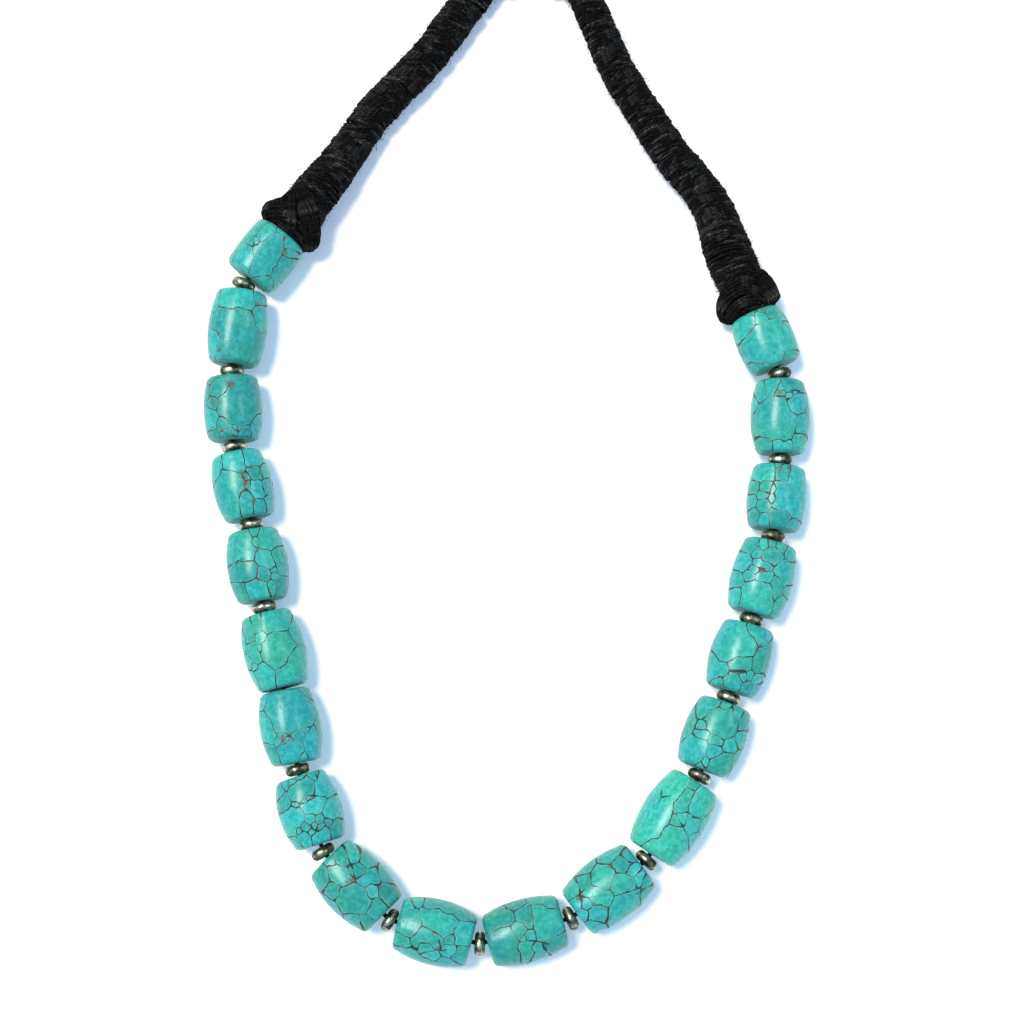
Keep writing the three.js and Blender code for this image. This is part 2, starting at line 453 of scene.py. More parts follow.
# A thick ply wound under the threads, so that no light comes through between them
def fillingRoute(side, track):
    turns = track.length / winding["fillingPitch"]
    angle = np.linspace(0, turns * 2 * math.pi, int(turns * winding["fillingSteps"]))
    distance = angle / (2 * math.pi) * winding["fillingPitch"]
    depth = winding["fillingDepth"] * winding["thread"] + winding["filling"]
    return track.around(distance, angle, outerRadius(side, distance) - depth)


# Wraps of one to three threads that run across the others and dive under at both ends
crossing = {
    "count": 40,
    "steps": 26,
    "margin": 0.05,  # share of the cord that stays free at each end
    "lean": (8, 24),  # degrees away from the windings, either way
    "start": (-0.6, 0.9),  # radians round from the cord's side
    "reach": (1.6, 2.8),
    "rows": 3,
    "rowGap": 1.7,  # in thread radii
    "thickness": 0.85,  # beside the winding thread
    "depth": 0.12 * mm,  # how deep its middle lies
    "dive": 0.75 * mm,  # how much deeper its ends go
    "diveSharpness": 0.35,
}


def crossingWrap(side, track, dice):
    shape = crossing
    middle = dice.uniform(shape["margin"], 1 - shape["margin"]) * track.length
    tilt = math.radians(cordLean[side] + dice.choice((-1, 1)) * dice.uniform(*shape["lean"]))
    start = dice.uniform(*shape["start"])
    reach = dice.uniform(*shape["reach"])
    share = np.linspace(0, 1, shape["steps"])
    angle = start + reach * share
    dive = shape["dive"] * (1 - np.sin(share * math.pi) ** shape["diveSharpness"])
    radius = outerRadius(side, np.full(shape["steps"], middle)) - shape["depth"] - dive
    slant = radius * math.tan(tilt) * np.cos(angle)
    gap = shape["rowGap"] * winding["thread"]
    return [track.around(middle + row * gap + slant, angle, radius)
            for row in range(dice.randint(1, shape["rows"]))]


def windCord(side, dice):
    shape = winding
    track = Track(smoothRoute(cordRoutes[side], shape["routeStep"]))
    bands = windingBands(track.length, cordLean[side], dice)
    wraps = [crossingWrap(side, track, dice) for _ in range(crossing["count"])]
    across = [route for wrap in wraps for route in wrap]
    core = smoothRoute(cordRoutes[side], shape["coreStep"])
    thin = shape["thread"] * crossing["thickness"]
    pieces = [
        threadMesh("winding", [woundRoute(side, track, bands)], shape["thread"], shape["sides"], cotton),
        threadMesh("crossing", across, thin, shape["sides"], cotton),
        threadMesh("filling", [fillingRoute(side, track)], shape["filling"], shape["fillingSides"], cotton),
        threadMesh("core", [core], shape["core"], shape["coreSides"], cotton),
    ]
    cord = joinPieces(f"cord_{side}_wound", pieces)
    keepAboveFloor(cord)
    return cord, track


# Soft thread flattens where it rests, so nothing goes through the floor
def keepAboveFloor(piece, height=0.03 * mm):
    for vertex in piece.data.vertices:
        vertex.co.z = max(vertex.co.z, height)


# Stray fibres: thin bent hairs that stand off the thread
hairShape = {
    "count": 640,
    "radius": 0.038 * mm,
    "sides": 4,
    "steps": 5,
    "past": 0.3,  # radians below the level of the middle where hairs still stand
    "margin": 0.03,  # share of the cord that stays free at each end
    "lengths": (0.3, 0.45, 0.6, 0.9, 1.5),  # millimetres
    "lengthSpread": (0.6, 1.1),
    "swing": 0.35,
    "bow": 0.35,
    "rootDepth": 0.2 * mm,
}


def strayHairs(name, side, track, dice):
    shape = hairShape
    share = np.linspace(0, 1, shape["steps"])
    routes = []
    for _ in range(shape["count"]):
        angle = dice.uniform(-shape["past"], math.pi + shape["past"])
        distance = dice.uniform(shape["margin"], 1 - shape["margin"]) * track.length
        length = dice.choice(shape["lengths"]) * dice.uniform(*shape["lengthSpread"]) * mm
        drift = dice.uniform(-1.0, 1.0) * length * share ** 1.5
        swing = dice.uniform(-shape["swing"], shape["swing"]) * share
        root = outerRadius(side, np.full(shape["steps"], distance)) - shape["rootDepth"]
        radius = root + length * share * (1 - shape["bow"] * share)
        routes.append(track.around(distance + drift, angle + swing, radius))
    hairs = threadMesh(name, routes, shape["radius"], shape["sides"], cotton)
    keepAboveFloor(hairs)
    return hairs


def addCords(clasp):
    for side, farEnd in (("left", "fitting"), ("right", "object")):
        dice = random.Random(cordSeeds[side])
        cord, track = windCord(side, dice)
        hairs = strayHairs(f"cord_{side}_hairs", side, track, dice)
        for piece in (cord, hairs):
            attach(piece, "root")
        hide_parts(f"cord_{side}")
        print("cord", side, round(track.length * 1000, 1), "mm,", len(cord.data.polygons), "faces")


# Floor and light

lighting = {
    "floorRadius": 12.0,
    "floor": (0.90, 0.90, 0.90, 1),
    "floorGlow": (0.165, 0.19, 0.225, 1),  # lifts the shadows as an overexposed photo does
    "ambient": (0.46, 0.68, 1.0, 1),
    "ambientStrength": 0.90,
    "suns": [  # lean from straight up to the left, towards the far side, angle across, in degrees
        {"name": "day", "colour": (1.0, 0.82, 0.56), "strength": 3.0,
         "lean": 16, "towards": 9, "angle": 14},
    ],
    "glints": [  # seen in polished surfaces only
        {"name": "pane0", "colour": (1.0, 0.97, 0.88), "strength": 1.40,
         "lean": 27, "towards": 3, "angle": 20},
        {"name": "pane1", "colour": (1.0, 0.97, 0.88), "strength": 1.40,
         "lean": 26, "towards": 15, "angle": 20},
        {"name": "pane2", "colour": (1.0, 0.97, 0.88), "strength": 0.95,
         "lean": 24, "towards": 27, "angle": 20},
        {"name": "sideGlow", "colour": (0.75, 0.90, 1.0), "strength": 0.42,
         "lean": -38, "towards": 14, "angle": 18},
    ],
}


# Parallel light, as a window or a lamp far away gives it
def addSun(row, onlyGlint):
    data = bpy.data.lights.new(row["name"], "SUN")
    data.color = row["colour"]
    data.energy = row["strength"]
    data.angle = math.radians(row["angle"])
    sun = bpy.data.objects.new(row["name"], data)
    source = Vector((-math.tan(math.radians(row["lean"])), math.tan(math.radians(row["towards"])), 1))
    sun.rotation_euler = source.to_track_quat("Z", "Y").to_euler()
    sun.visible_diffuse = not onlyGlint
    sun.visible_glossy = onlyGlint
    bpy.context.scene.collection.objects.link(sun)


def addFloorAndLight():
    bm = bmesh.new()
    bmesh.ops.create_circle(bm, cap_ends=True, segments=64, radius=lighting["floorRadius"])
    material, tree, shader = newMaterial("paleFloor")
    shader.inputs["Base Color"].default_value = lighting["floor"]
    shader.inputs["Roughness"].default_value = 1.0
    shader.inputs["Specular IOR Level"].default_value = 0.0
    shader.inputs["Emission Color"].default_value = lighting["floorGlow"]
    shader.inputs["Emission Strength"].default_value = 1.0
    meshPiece("floor", bm, material)

    world = bpy.data.worlds.new("room")
    world.use_nodes = True
    sky = world.node_tree.nodes["Background"]
    sky.inputs["Color"].default_value = lighting["ambient"]
    sky.inputs["Strength"].default_value = lighting["ambientStrength"]
    bpy.context.scene.world = world
    for row in lighting["suns"]:
        addSun(row, False)
    for row in lighting["glints"]:
        addSun(row, True)
    bpy.context.scene.view_settings.view_transform = "Standard"


addFloorAndLight()
print("floor and light placed")


# Beads: hand-cut barrels of veined stone, in string order from the left knot

beadSizes = [  # length, middle and end thickness in millimetres, heading in degrees
    (11.8, 12.4, 11.0, -127.0),
    (15.6, 12.3, 9.8, -96.5),
    (13.4, 12.2, 10.0, -87.5),
    (14.0, 12.4, 9.8, -76.5),
    (14.8, 12.6, 9.8, -80.5),
    (15.8, 12.8, 9.8, -75.5),
    (15.0, 12.6, 9.7, -79.5),
    (14.4, 13.0, 9.9, -72.0),
    (16.0, 13.4, 10.4, -45.0),
    (15.4, 13.2, 10.2, -14.5),
    (15.8, 12.8, 10.1, 15.5),
    (16.2, 13.4, 10.5, 37.0),
    (17.2, 13.4, 10.3, 57.0),
    (14.4, 13.0, 10.4, 69.0),
    (14.2, 12.6, 10.1, 73.0),
    (15.2, 13.0, 10.3, 74.5),
    (13.4, 12.4, 10.2, 83.5),
    (15.4, 12.4, 9.6, 89.5),
    (12.2, 12.2, 10.4, 112.0),
]

beadShape = {
    "fuller": 0.1,  # millimetres added to the middle, which hand cutting takes off again
    "steps": 88,
    "arcPoints": 26,
    "rim": 1.30,  # millimetres of softened edge
    "endFull": 1.00,  # millimetres that a softened end is thicker than its flat face shows
    "fullness": 2.2,  # how late the barrel falls off to its ends
    "rimPoints": 5,
    "bore": 1.0,
    "boreMouth": 0.30,
    "mouthSoft": 0.3,  # share of the mouth that its softened edge takes
    "faceRings": (0.33, 0.66),
    "cut": 0.10,  # how far hand cutting goes in from the true barrel
    "cutSize": 6.0,
    "ripple": 0.035,
    "rippleSize": 2.2,
    "noiseReach": 0.6,  # how far Blender's noise goes from 0
}

# Pebbles pressed together in each bead, charted on its upper side. A pebble is a group of circles:
# (along, across, radius) in millimetres from the bead's middle, across counted to the left
stonePebbles = {
    1: [
        [(-2.5, 1.2, 1.7), (0.5, 1.6, 2.4), (3.0, 2.2, 1.9)],
        [(-3.6, -1.4, 1.2), (-2.4, -1.8, 1.0)],
        [(-3.0, -4.4, 1.6), (0.0, -5.4, 1.4), (3.5, -5.6, 1.2)],
        [(2.6, -2.9, 1.0), (4.0, -1.8, 1.8)],
        [(-0.8, -2.2, 0.4)], [(0.0, -3.1, 0.5)],
        [(-4.8, 3.8, 1.3), (-6.0, 1.0, 0.8)],
        [(-0.5, 5.0, 1.1), (1.8, 5.2, 1.0)],
        [(5.4, 4.2, 1.2)], [(-2.9, 4.6, 0.6)], [(-6.3, -1.5, 0.7)],
    ],
    2: [
        [(-0.2, 1.4, 2.5), (2.5, 2.0, 2.9), (5.6, 1.0, 2.9), (-0.3, -2.0, 2.3), (1.5, -0.6, 2.0)],
        [(-5.3, 1.8, 1.9), (-5.2, -1.6, 2.1)],
        [(-2.6, 4.9, 1.2), (-1.6, 5.1, 1.0)],
        [(-6.0, 4.6, 0.9)], [(3.0, 6.1, 0.6), (6.2, 5.6, 0.6)],
        [(-4.2, -5.2, 0.8)], [(0.5, -5.7, 0.8), (-1.0, -5.8, 0.6)],
        [(4.0, -4.4, 1.3), (5.4, -4.0, 1.2)], [(7.0, -3.2, 0.4)],
    ],
    3: [
        [(-3.6, 3.6, 2.0), (-0.8, 2.6, 3.1), (1.6, 2.0, 2.8), (0.0, 0.2, 2.2), (3.6, 2.2, 1.2)],
        [(-3.6, -2.4, 1.6)], [(-5.8, 0.8, 0.7)], [(-6.8, -1.5, 0.9), (-6.3, -4.2, 1.0)],
        [(-3.0, -5.3, 0.8)], [(-0.5, -3.4, 0.75)], [(2.2, -4.4, 1.1), (3.6, -4.5, 1.0)],
        [(4.4, -1.4, 0.8)], [(6.3, -0.8, 0.9)], [(4.8, 1.0, 0.35)], [(5.6, 0.6, 0.3)], [(4.8, 0.0, 0.35)],
        [(5.6, 3.6, 0.8)], [(4.6, 5.2, 0.7)], [(6.5, -4.5, 1.0)],
    ],
    4: [
        [(-0.2, -2.2, 2.4), (2.8, -3.2, 2.6), (4.6, -3.0, 1.8), (0.3, -0.5, 1.2)],
        [(-5.0, -0.3, 2.2), (-3.6, 0.4, 1.2)],
        [(-5.0, 4.2, 1.8), (-3.8, 3.4, 0.9)],
        [(-5.0, -4.4, 1.4), (-3.6, -4.6, 0.8)],
        [(-1.3, 3.6, 1.1)], [(-1.4, 5.3, 0.6)], [(1.8, 3.2, 1.0), (2.8, 3.4, 0.9)],
        [(4.4, 0.6, 1.3), (5.4, 0.2, 1.2)], [(5.6, 3.2, 1.0)], [(2.0, 5.4, 0.9), (4.5, 5.4, 0.7)],
        [(0.8, 1.6, 0.2)], [(-0.6, 1.9, 0.3)],
    ],
    5: [
        [(-4.8, -2.0, 2.1), (-2.6, -1.6, 1.8), (-3.0, -3.9, 1.8)],
        [(1.2, -3.4, 1.7), (1.6, -1.6, 1.6)],
        [(5.6, -4.4, 1.3), (4.8, -4.0, 0.9)], [(5.8, 0.0, 1.9), (5.2, -1.2, 1.2)],
        [(5.4, 5.2, 0.9)], [(5.4, 3.0, 0.5)], [(2.7, 1.7, 1.0)],
        [(-0.8, 2.3, 1.2), (0.2, 3.0, 1.1)], [(-0.6, 4.8, 1.2), (1.4, 5.2, 0.9)],
        [(-4.8, 3.8, 1.9), (-3.6, 3.2, 1.1)], [(-4.3, 1.1, 0.5)], [(2.3, 3.8, 0.3)], [(3.1, 3.8, 0.3)],
        [(-6.6, 1.2, 0.8)],
    ],
    6: [
        [(0.2, 1.3, 3.0), (-1.0, 2.6, 1.5), (1.6, 0.2, 2.0)],
        [(-2.7, -1.4, 1.0)], [(-5.4, 2.8, 2.2), (-5.2, 0.8, 1.8)], [(-2.2, 5.4, 0.8)],
        [(4.0, 4.6, 2.0), (6.0, 3.6, 2.0), (6.4, 1.4, 1.5)],
        [(5.2, -3.0, 2.0), (3.8, -2.6, 1.1)],
        [(0.2, -3.6, 1.0), (-1.2, -3.9, 0.9), (1.6, -3.4, 0.8)],
        [(-4.6, -4.0, 1.1), (-3.4, -4.0, 0.9)], [(-5.6, -1.6, 1.2), (-4.6, -2.0, 0.8)],
        [(-0.5, -2.25, 0.3)], [(-3.0, -5.7, 0.6)], [(1.5, -5.2, 0.4)], [(2.6, -4.2, 0.5)],
        [(5.0, -5.6, 0.6)],
    ],
    7: [
        [(-3.4, 1.4, 4.0), (-1.6, 2.2, 2.8), (-1.4, -0.2, 2.4), (-4.4, -0.4, 3.2)],
        [(-6.6, -5.0, 0.9)], [(-0.6, -4.8, 1.6), (1.4, -4.2, 1.2)], [(4.4, -4.8, 1.1), (5.0, -4.4, 0.9)],
        [(5.2, 0.2, 1.9), (5.0, -1.2, 1.6)], [(2.2, 2.2, 0.9)], [(1.4, 3.4, 0.4)],
        [(3.0, -0.8, 0.3)], [(2.0, -1.4, 0.5)], [(2.8, -2.4, 0.5)],
        [(3.6, 4.6, 1.4), (5.2, 4.6, 1.2)], [(1.8, 6.0, 0.4)], [(-6.9, 5.0, 0.7)], [(7.0, 2.5, 0.5)],
    ],
    8: [
        [(-4.2, 1.0, 1.7), (-4.0, -0.9, 1.4), (-5.0, 2.0, 1.0)], [(-3.4, 4.6, 1.6), (-2.6, 3.6, 0.8)],
        [(-7.2, 1.0, 0.7), (-6.8, -1.6, 0.6)], [(-6.4, 3.6, 0.7)],
        [(-0.2, 1.6, 1.3), (-0.3, 0.4, 1.0), (-0.8, 3.0, 0.8)], [(1.0, 5.0, 1.2), (1.8, 4.2, 1.1)],
        [(0.8, -2.8, 1.8), (0.4, -4.2, 1.5), (2.4, -4.4, 1.3)], [(-2.6, -4.4, 1.4)],
        [(-5.0, -5.0, 0.8)], [(-6.6, -3.6, 0.6)], [(2.0, 0.0, 0.8)], [(3.0, -1.3, 0.7)],
        [(3.4, 0.7, 0.4)], [(2.6, 1.8, 0.6)], [(4.2, 1.8, 0.6)], [(3.7, 3.6, 0.5)], [(4.5, -0.5, 0.3)],
        [(5.6, 2.2, 1.1), (6.2, 0.4, 1.0)], [(5.4, -2.7, 1.2)], [(3.6, -3.0, 0.4)], [(5.4, 4.6, 1.0)],
        [(-2.2, 1.4, 0.3)], [(-1.6, 0.2, 0.25)], [(-1.5, -2.0, 0.2)], [(5.6, -4.9, 0.8)],
    ],
    9: [
        [(1.8, -1.8, 2.6), (2.6, -0.6, 2.1), (0.8, -3.0, 1.9), (4.0, -1.4, 1.5)],
        [(-4.2, -0.6, 1.6), (-3.0, 0.2, 1.4)], [(-2.6, -3.3, 0.9), (-1.6, -3.6, 0.8)],
        [(-6.0, -3.4, 1.3)], [(-4.1, 4.2, 0.9)], [(-5.6, 2.4, 1.1)], [(-1.8, 3.2, 1.0)],
        [(-1.8, 5.2, 0.9)], [(1.2, 4.2, 1.3), (0.8, 2.6, 1.0)], [(3.0, 2.0, 1.1), (3.2, 1.4, 0.9)],
        [(5.2, 4.2, 1.3)], [(2.6, 5.6, 0.7)], [(5.8, 0.6, 1.0), (6.0, -1.0, 1.0)],
        [(6.2, -3.4, 1.0)], [(4.6, -4.6, 0.8)], [(-6.9, 0.4, 0.7)], [(-2.6, 1.8, 0.6)],
        [(-0.2, -5.8, 0.5)],
    ],
    10: [
        [(-0.6, 2.9, 1.9), (1.6, 2.4, 2.0), (2.6, 3.2, 1.2), (-2.0, 3.2, 1.2)],
        [(-5.2, 1.8, 1.8), (-5.6, -0.2, 1.6), (-4.6, 0.6, 1.4)],
        [(-1.8, 5.3, 0.7), (1.4, 5.4, 0.8), (4.0, 5.2, 0.9)], [(5.8, 2.2, 1.6), (5.9, 0.6, 1.3)],
        [(3.6, -0.2, 0.6)], [(-1.6, -0.6, 1.2), (0.6, -1.0, 1.1), (-3.0, -2.4, 0.7)],
        [(6.4, -2.2, 1.1), (6.0, -3.6, 1.1)], [(4.2, -2.6, 1.1)], [(-1.2, -2.9, 0.7), (-0.2, -2.8, 0.6)],
        [(0.6, -4.2, 0.8)], [(-5.4, -3.2, 1.0), (-6.6, -3.0, 0.7)],
        [(-4.0, -5.3, 0.9), (0.0, -5.8, 0.6), (4.0, -5.2, 1.1)], [(-6.6, 4.9, 1.0)], [(-5.0, 5.4, 0.5)],
    ],
    11: [
        [(-5.2, -1.2, 2.8), (-4.0, 0.2, 2.0), (-4.6, -3.2, 1.8)], [(-4.8, 4.4, 1.8), (-3.0, 3.8, 1.5)],
        [(-1.0, 1.2, 1.3), (-1.2, 0.2, 0.8)], [(0.6, 3.6, 1.5), (1.2, 2.0, 1.0)],
        [(4.4, 1.6, 2.2), (4.6, -0.6, 2.0), (3.8, 3.4, 1.3)], [(-0.7, -0.8, 0.5)], [(0.7, -0.6, 0.6)],
        [(-0.6, -2.6, 1.1), (-0.4, -3.8, 1.0)], [(1.2, -3.6, 0.7), (1.6, -4.8, 0.7)],
        [(5.0, -3.8, 1.5)], [(-0.4, 5.5, 0.6)], [(4.0, 5.6, 0.6), (6.2, 4.6, 0.6)],
    ],
    12: [
        [(0.4, 3.0, 2.0), (0.2, 2.2, 1.4)], [(-2.6, 0.9, 1.5), (-1.6, -0.4, 1.3), (-3.2, 2.2, 0.8)],
        [(-5.4, 5.0, 0.7)], [(-3.0, 4.6, 1.1)], [(-7.0, 2.0, 0.6)], [(-5.2, 0.8, 0.8)], [(-7.2, -0.6, 0.8)],
        [(-4.4, -2.4, 1.4), (-5.2, -1.8, 0.9)], [(-6.8, -4.2, 0.8)],
        [(0.6, -3.8, 2.1), (-1.4, -4.2, 1.4), (2.6, -4.2, 1.5)],
        [(2.2, -0.2, 1.7), (4.0, -1.2, 1.2), (3.0, 0.2, 1.2)], [(6.0, 0.2, 0.8)], [(6.0, -1.8, 1.0)],
        [(5.2, 3.0, 1.1), (4.9, 2.4, 0.9)], [(7.0, 3.4, 0.6)], [(3.9, 5.4, 0.7)], [(5.0, -5.2, 0.6)],
        [(7.0, -3.4, 0.7)], [(-1.2, 6.0, 0.4)],
    ],
    13: [
        [(-3.8, 3.4, 2.4), (-1.4, 3.4, 2.3), (1.0, 3.6, 1.7), (4.4, 4.0, 2.2), (6.6, 3.6, 1.7)],
        [(-5.4, -2.0, 2.6), (-3.6, -1.6, 2.2), (-4.6, -4.0, 1.8), (-7.0, 1.0, 1.0)],
        [(-0.4, -0.4, 0.8)], [(0.8, -1.0, 0.8)], [(4.0, 0.6, 1.0), (2.4, 0.4, 0.9), (5.6, 0.8, 0.6)],
        [(4.8, -2.8, 1.8), (6.2, -2.6, 1.2), (3.8, -3.0, 1.2)], [(0.8, -3.6, 1.2), (1.4, -2.8, 0.7)],
        [(7.6, 0.9, 0.5)], [(2.0, -5.8, 0.6)], [(-1.6, -5.4, 0.7)],
    ],
    14: [
        [(-4.2, 3.4, 2.2), (-3.6, 3.0, 2.0)],
        [(2.8, 0.2, 2.6), (3.4, -0.8, 2.2), (1.8, -0.8, 1.6), (3.6, 2.0, 1.7)], [(0.5, 6.0, 1.3)],
        [(-5.2, -2.6, 1.9), (-4.2, -3.6, 1.5)], [(-3.2, -0.5, 1.2)], [(-0.9, -0.2, 0.8), (-1.0, 0.8, 0.7)],
        [(-0.9, -3.2, 1.0)], [(-1.0, 3.0, 0.9), (-0.8, 2.1, 0.6)], [(0.9, 3.6, 0.4)],
        [(4.0, 4.2, 1.0), (5.6, 3.2, 1.0)], [(5.6, -2.6, 0.8)], [(6.3, 0.6, 0.5)], [(4.2, -4.4, 0.9)],
        [(-7.0, 1.2, 0.5)], [(-5.7, 0.5, 0.5)], [(1.4, -4.9, 0.9)], [(-2.6, -5.6, 0.5)],
    ],
    15: [
        [(2.0, 3.0, 2.8), (3.8, 3.0, 2.2), (2.4, 0.6, 2.2), (0.4, 3.4, 1.9)],
        [(-4.0, 4.6, 1.2), (-3.6, 3.4, 1.1), (-3.2, 5.2, 0.9)], [(-5.2, 1.6, 1.1), (-5.4, 0.0, 1.0)],
        [(-6.6, 3.8, 1.0)], [(-1.6, 0.4, 1.3), (-1.2, -0.8, 1.1), (-2.2, 1.6, 0.7)], [(-3.8, -1.4, 0.5)],
        [(-3.2, -2.6, 0.7)], [(0.8, -4.2, 1.8), (-0.8, -3.6, 1.2), (2.0, -4.8, 1.4)],
        [(5.4, -2.8, 1.5), (5.8, -0.8, 1.0)], [(-5.6, -2.8, 0.8)], [(-3.4, -4.2, 0.9)], [(-5.2, -4.8, 0.6)],
        [(4.3, -2.9, 0.2)],
    ],
    16: [
        [(-4.8, 1.4, 2.6), (-3.4, 0.8, 2.0), (-5.4, -0.4, 2.1), (-3.6, -0.6, 1.7)],
        [(-5.0, 5.0, 0.7)], [(-2.2, 5.2, 0.8)], [(-0.8, 3.1, 0.8)],
        [(-0.6, 1.0, 1.0), (-0.4, -0.4, 0.8)], [(0.6, 2.6, 0.8)], [(2.0, 2.2, 0.8), (2.0, 0.6, 0.7)],
        [(1.8, 4.8, 1.2)], [(4.2, 0.2, 1.4), (4.4, -1.2, 1.3)], [(4.2, 2.9, 0.9)], [(5.2, 4.6, 0.9)],
        [(5.9, 2.2, 0.6)], [(1.8, -4.2, 2.0), (2.2, -3.6, 1.8)], [(-2.4, -3.0, 1.0), (-0.8, -2.4, 0.8)],
        [(-4.4, -5.0, 1.1)], [(-1.8, -5.3, 0.7)], [(6.6, -2.0, 0.9)], [(6.8, 0.4, 0.4)], [(5.6, -4.2, 0.9)],
    ],
    17: [
        [(0.0, -2.4, 3.0), (-1.6, -3.2, 2.2), (3.2, -3.4, 2.0), (1.0, -0.8, 1.8), (-1.6, -0.6, 1.6)],
        [(-4.8, 0.2, 1.6), (-4.8, -1.4, 1.4)], [(-6.0, -3.4, 1.0)], [(-5.2, 3.0, 0.9)],
        [(-2.4, 3.4, 1.1)], [(-0.4, 3.6, 0.8)], [(-4.2, 5.0, 0.8)], [(-1.6, 5.3, 0.8)], [(1.4, 3.2, 0.9)],
        [(1.2, 5.2, 0.8)], [(5.2, 3.8, 1.9), (4.2, 4.6, 1.3), (4.4, 3.0, 1.2)],
        [(4.6, 0.2, 1.2), (3.6, -0.4, 0.8)], [(6.4, 1.2, 0.5)], [(-1.0, 1.5, 0.4), (1.0, 1.5, 0.4)],
    ],
    18: [
        [(-2.0, 2.4, 3.0), (0.4, 1.6, 2.4), (-3.2, 0.4, 2.2), (-1.6, -0.8, 1.9), (-0.2, 3.2, 2.2)],
        [(-6.6, 1.2, 0.9), (-6.9, -1.0, 0.8)], [(2.2, -3.0, 1.8), (1.4, -2.4, 1.3)],
        [(-1.8, -4.2, 1.4), (-3.0, -3.6, 0.8)], [(-5.6, -3.6, 1.2)], [(5.8, 2.6, 0.9), (4.8, 3.0, 0.6)],
        [(4.2, 4.9, 1.0)], [(2.8, 5.6, 0.4)], [(6.0, -1.6, 1.0), (6.2, -3.4, 1.0)], [(4.4, 1.0, 0.4)],
        [(5.2, 0.9, 0.3)], [(3.6, -1.5, 0.4)], [(4.4, -2.6, 0.4)], [(-6.2, 4.0, 0.8)], [(0.8, -5.6, 0.6)],
    ],
    19: [
        [(-2.0, 1.0, 3.4), (0.4, 0.6, 2.6), (-1.6, -2.4, 2.6), (0.6, -2.4, 1.9), (0.0, 3.6, 1.9)],
        [(-6.0, -2.8, 1.2)], [(-6.4, 4.4, 0.9)], [(-6.6, 1.8, 0.6)], [(-5.4, 2.9, 0.4)],
        [(3.8, 4.2, 1.6), (4.2, 2.8, 1.4), (2.9, 4.6, 1.0)], [(5.9, 2.2, 0.8)], [(4.4, -2.6, 1.1)],
        [(3.8, 0.4, 1.2)], [(2.9, -3.8, 0.4)], [(5.6, -1.0, 0.6)], [(5.6, -4.6, 1.0)],
    ],
}

# Short dark streaks that stop inside a pebble: from, to and half width in millimetres
stoneStreaks = {
    1: [((-0.1, -1.3), (0.9, -2.3), 0.13)],
    4: [((3.5, 5.2), (3.8, 4.6), 0.22)],
    5: [((-1.2, -2.3), (-0.5, -3.6), 0.16), ((3.2, -2.2), (3.7, -3.6), 0.16)],
    7: [((3.4, -1.0), (3.9, -2.5), 0.14)],
    8: [((-6.4, 4.4), (-5.6, 4.4), 0.26)],
    10: [((-6.4, 1.4), (-6.3, 0.2), 0.14), ((-2.4, -2.6), (-0.1, -1.7), 0.13),
         ((1.5, -0.9), (2.2, -2.8), 0.20), ((1.2, -2.9), (3.6, -2.3), 0.16),
         ((-3.6, -3.5), (-2.3, -3.9), 0.26)],
    11: [((0.2, 5.5), (1.2, 5.5), 0.16), ((-1.3, 5.3), (-1.4, 3.4), 0.12), ((1.8, 4.9), (4.6, 4.8), 0.10),
         ((2.3, -2.5), (3.6, -3.4), 0.24), ((2.9, -3.4), (3.2, -4.6), 0.20)],
    12: [((5.6, 0.8), (4.6, -0.8), 0.14), ((4.0, -3.9), (5.9, -4.6), 0.15)],
    13: [((-3.1, 0.3), (-0.8, 0.95), 0.19), ((1.1, 4.6), (2.1, 4.6), 0.15), ((2.0, 4.7), (3.9, 5.6), 0.18),
         ((2.1, 4.6), (3.2, 3.4), 0.18), ((2.2, -2.8), (2.8, -4.3), 0.17)],
    15: [((-3.5, 1.8), (-2.7, -1.3), 0.30), ((-4.3, 2.1), (-3.5, 1.9), 0.18)],
    16: [((1.2, 1.2), (1.3, -0.4), 0.14)],
    18: [((3.5, 1.8), (3.6, 0.0), 0.14), ((4.8, 1.5), (6.0, 1.2), 0.13), ((4.9, -0.8), (4.8, -4.0), 0.14),
         ((3.2, -2.2), (3.3, -3.4), 0.16)],
}

# Brown matrix between pebbles: (along, across, radius) in millimetres
stoneMatrix = {
    1: [(-2.4, 4.0, 0.5), (-4.6, 2.4, 0.3)],
    2: [(-4.5, 4.3, 0.35), (-2.6, 3.4, 0.2), (2.8, -2.9, 0.3), (6.2, -2.9, 0.3)],
    3: [(-4.2, 0.4, 0.8), (-1.0, -3.4, 0.3), (5.4, -1.8, 0.35)],
    4: [(-2.2, 1.0, 0.35), (-0.8, 1.3, 0.5), (0.6, 1.3, 0.6), (1.9, 1.1, 0.45), (4.4, 2.1, 0.35),
        (-2.6, 3.2, 0.3)],
    5: [(3.6, 0.4, 0.3), (-2.2, 1.0, 0.2)],
    7: [(2.5, -1.3, 0.45), (3.0, 0.6, 0.2)],
    8: [(-2.0, 1.5, 0.25), (3.6, -0.2, 0.25)],
    9: [(-1.2, 0.8, 0.55), (3.4, 4.2, 0.3), (-1.5, -0.2, 0.2)],
    10: [(-3.0, -3.7, 0.35), (2.0, -2.4, 0.4), (0.1, 0.3, 0.2)],
    11: [(3.0, -2.8, 0.3)],
    12: [(-5.5, 2.9, 0.7), (-4.0, -0.2, 0.3), (-3.7, -4.4, 0.4), (3.0, 4.2, 0.3), (-2.5, -2.6, 0.2)],
    14: [(0.4, 3.9, 0.25)],
    15: [(2.2, -2.4, 0.35), (-2.9, -0.6, 0.25)],
    16: [(0.9, 1.0, 0.6), (0.9, 3.8, 0.3)],
    17: [(5.8, -1.6, 0.4), (5.5, 0.6, 0.3)],
    18: [(4.2, 1.0, 0.5), (2.8, -0.9, 0.2)],
    19: [(5.5, -1.0, 0.35), (2.6, 2.9, 0.2)],
}

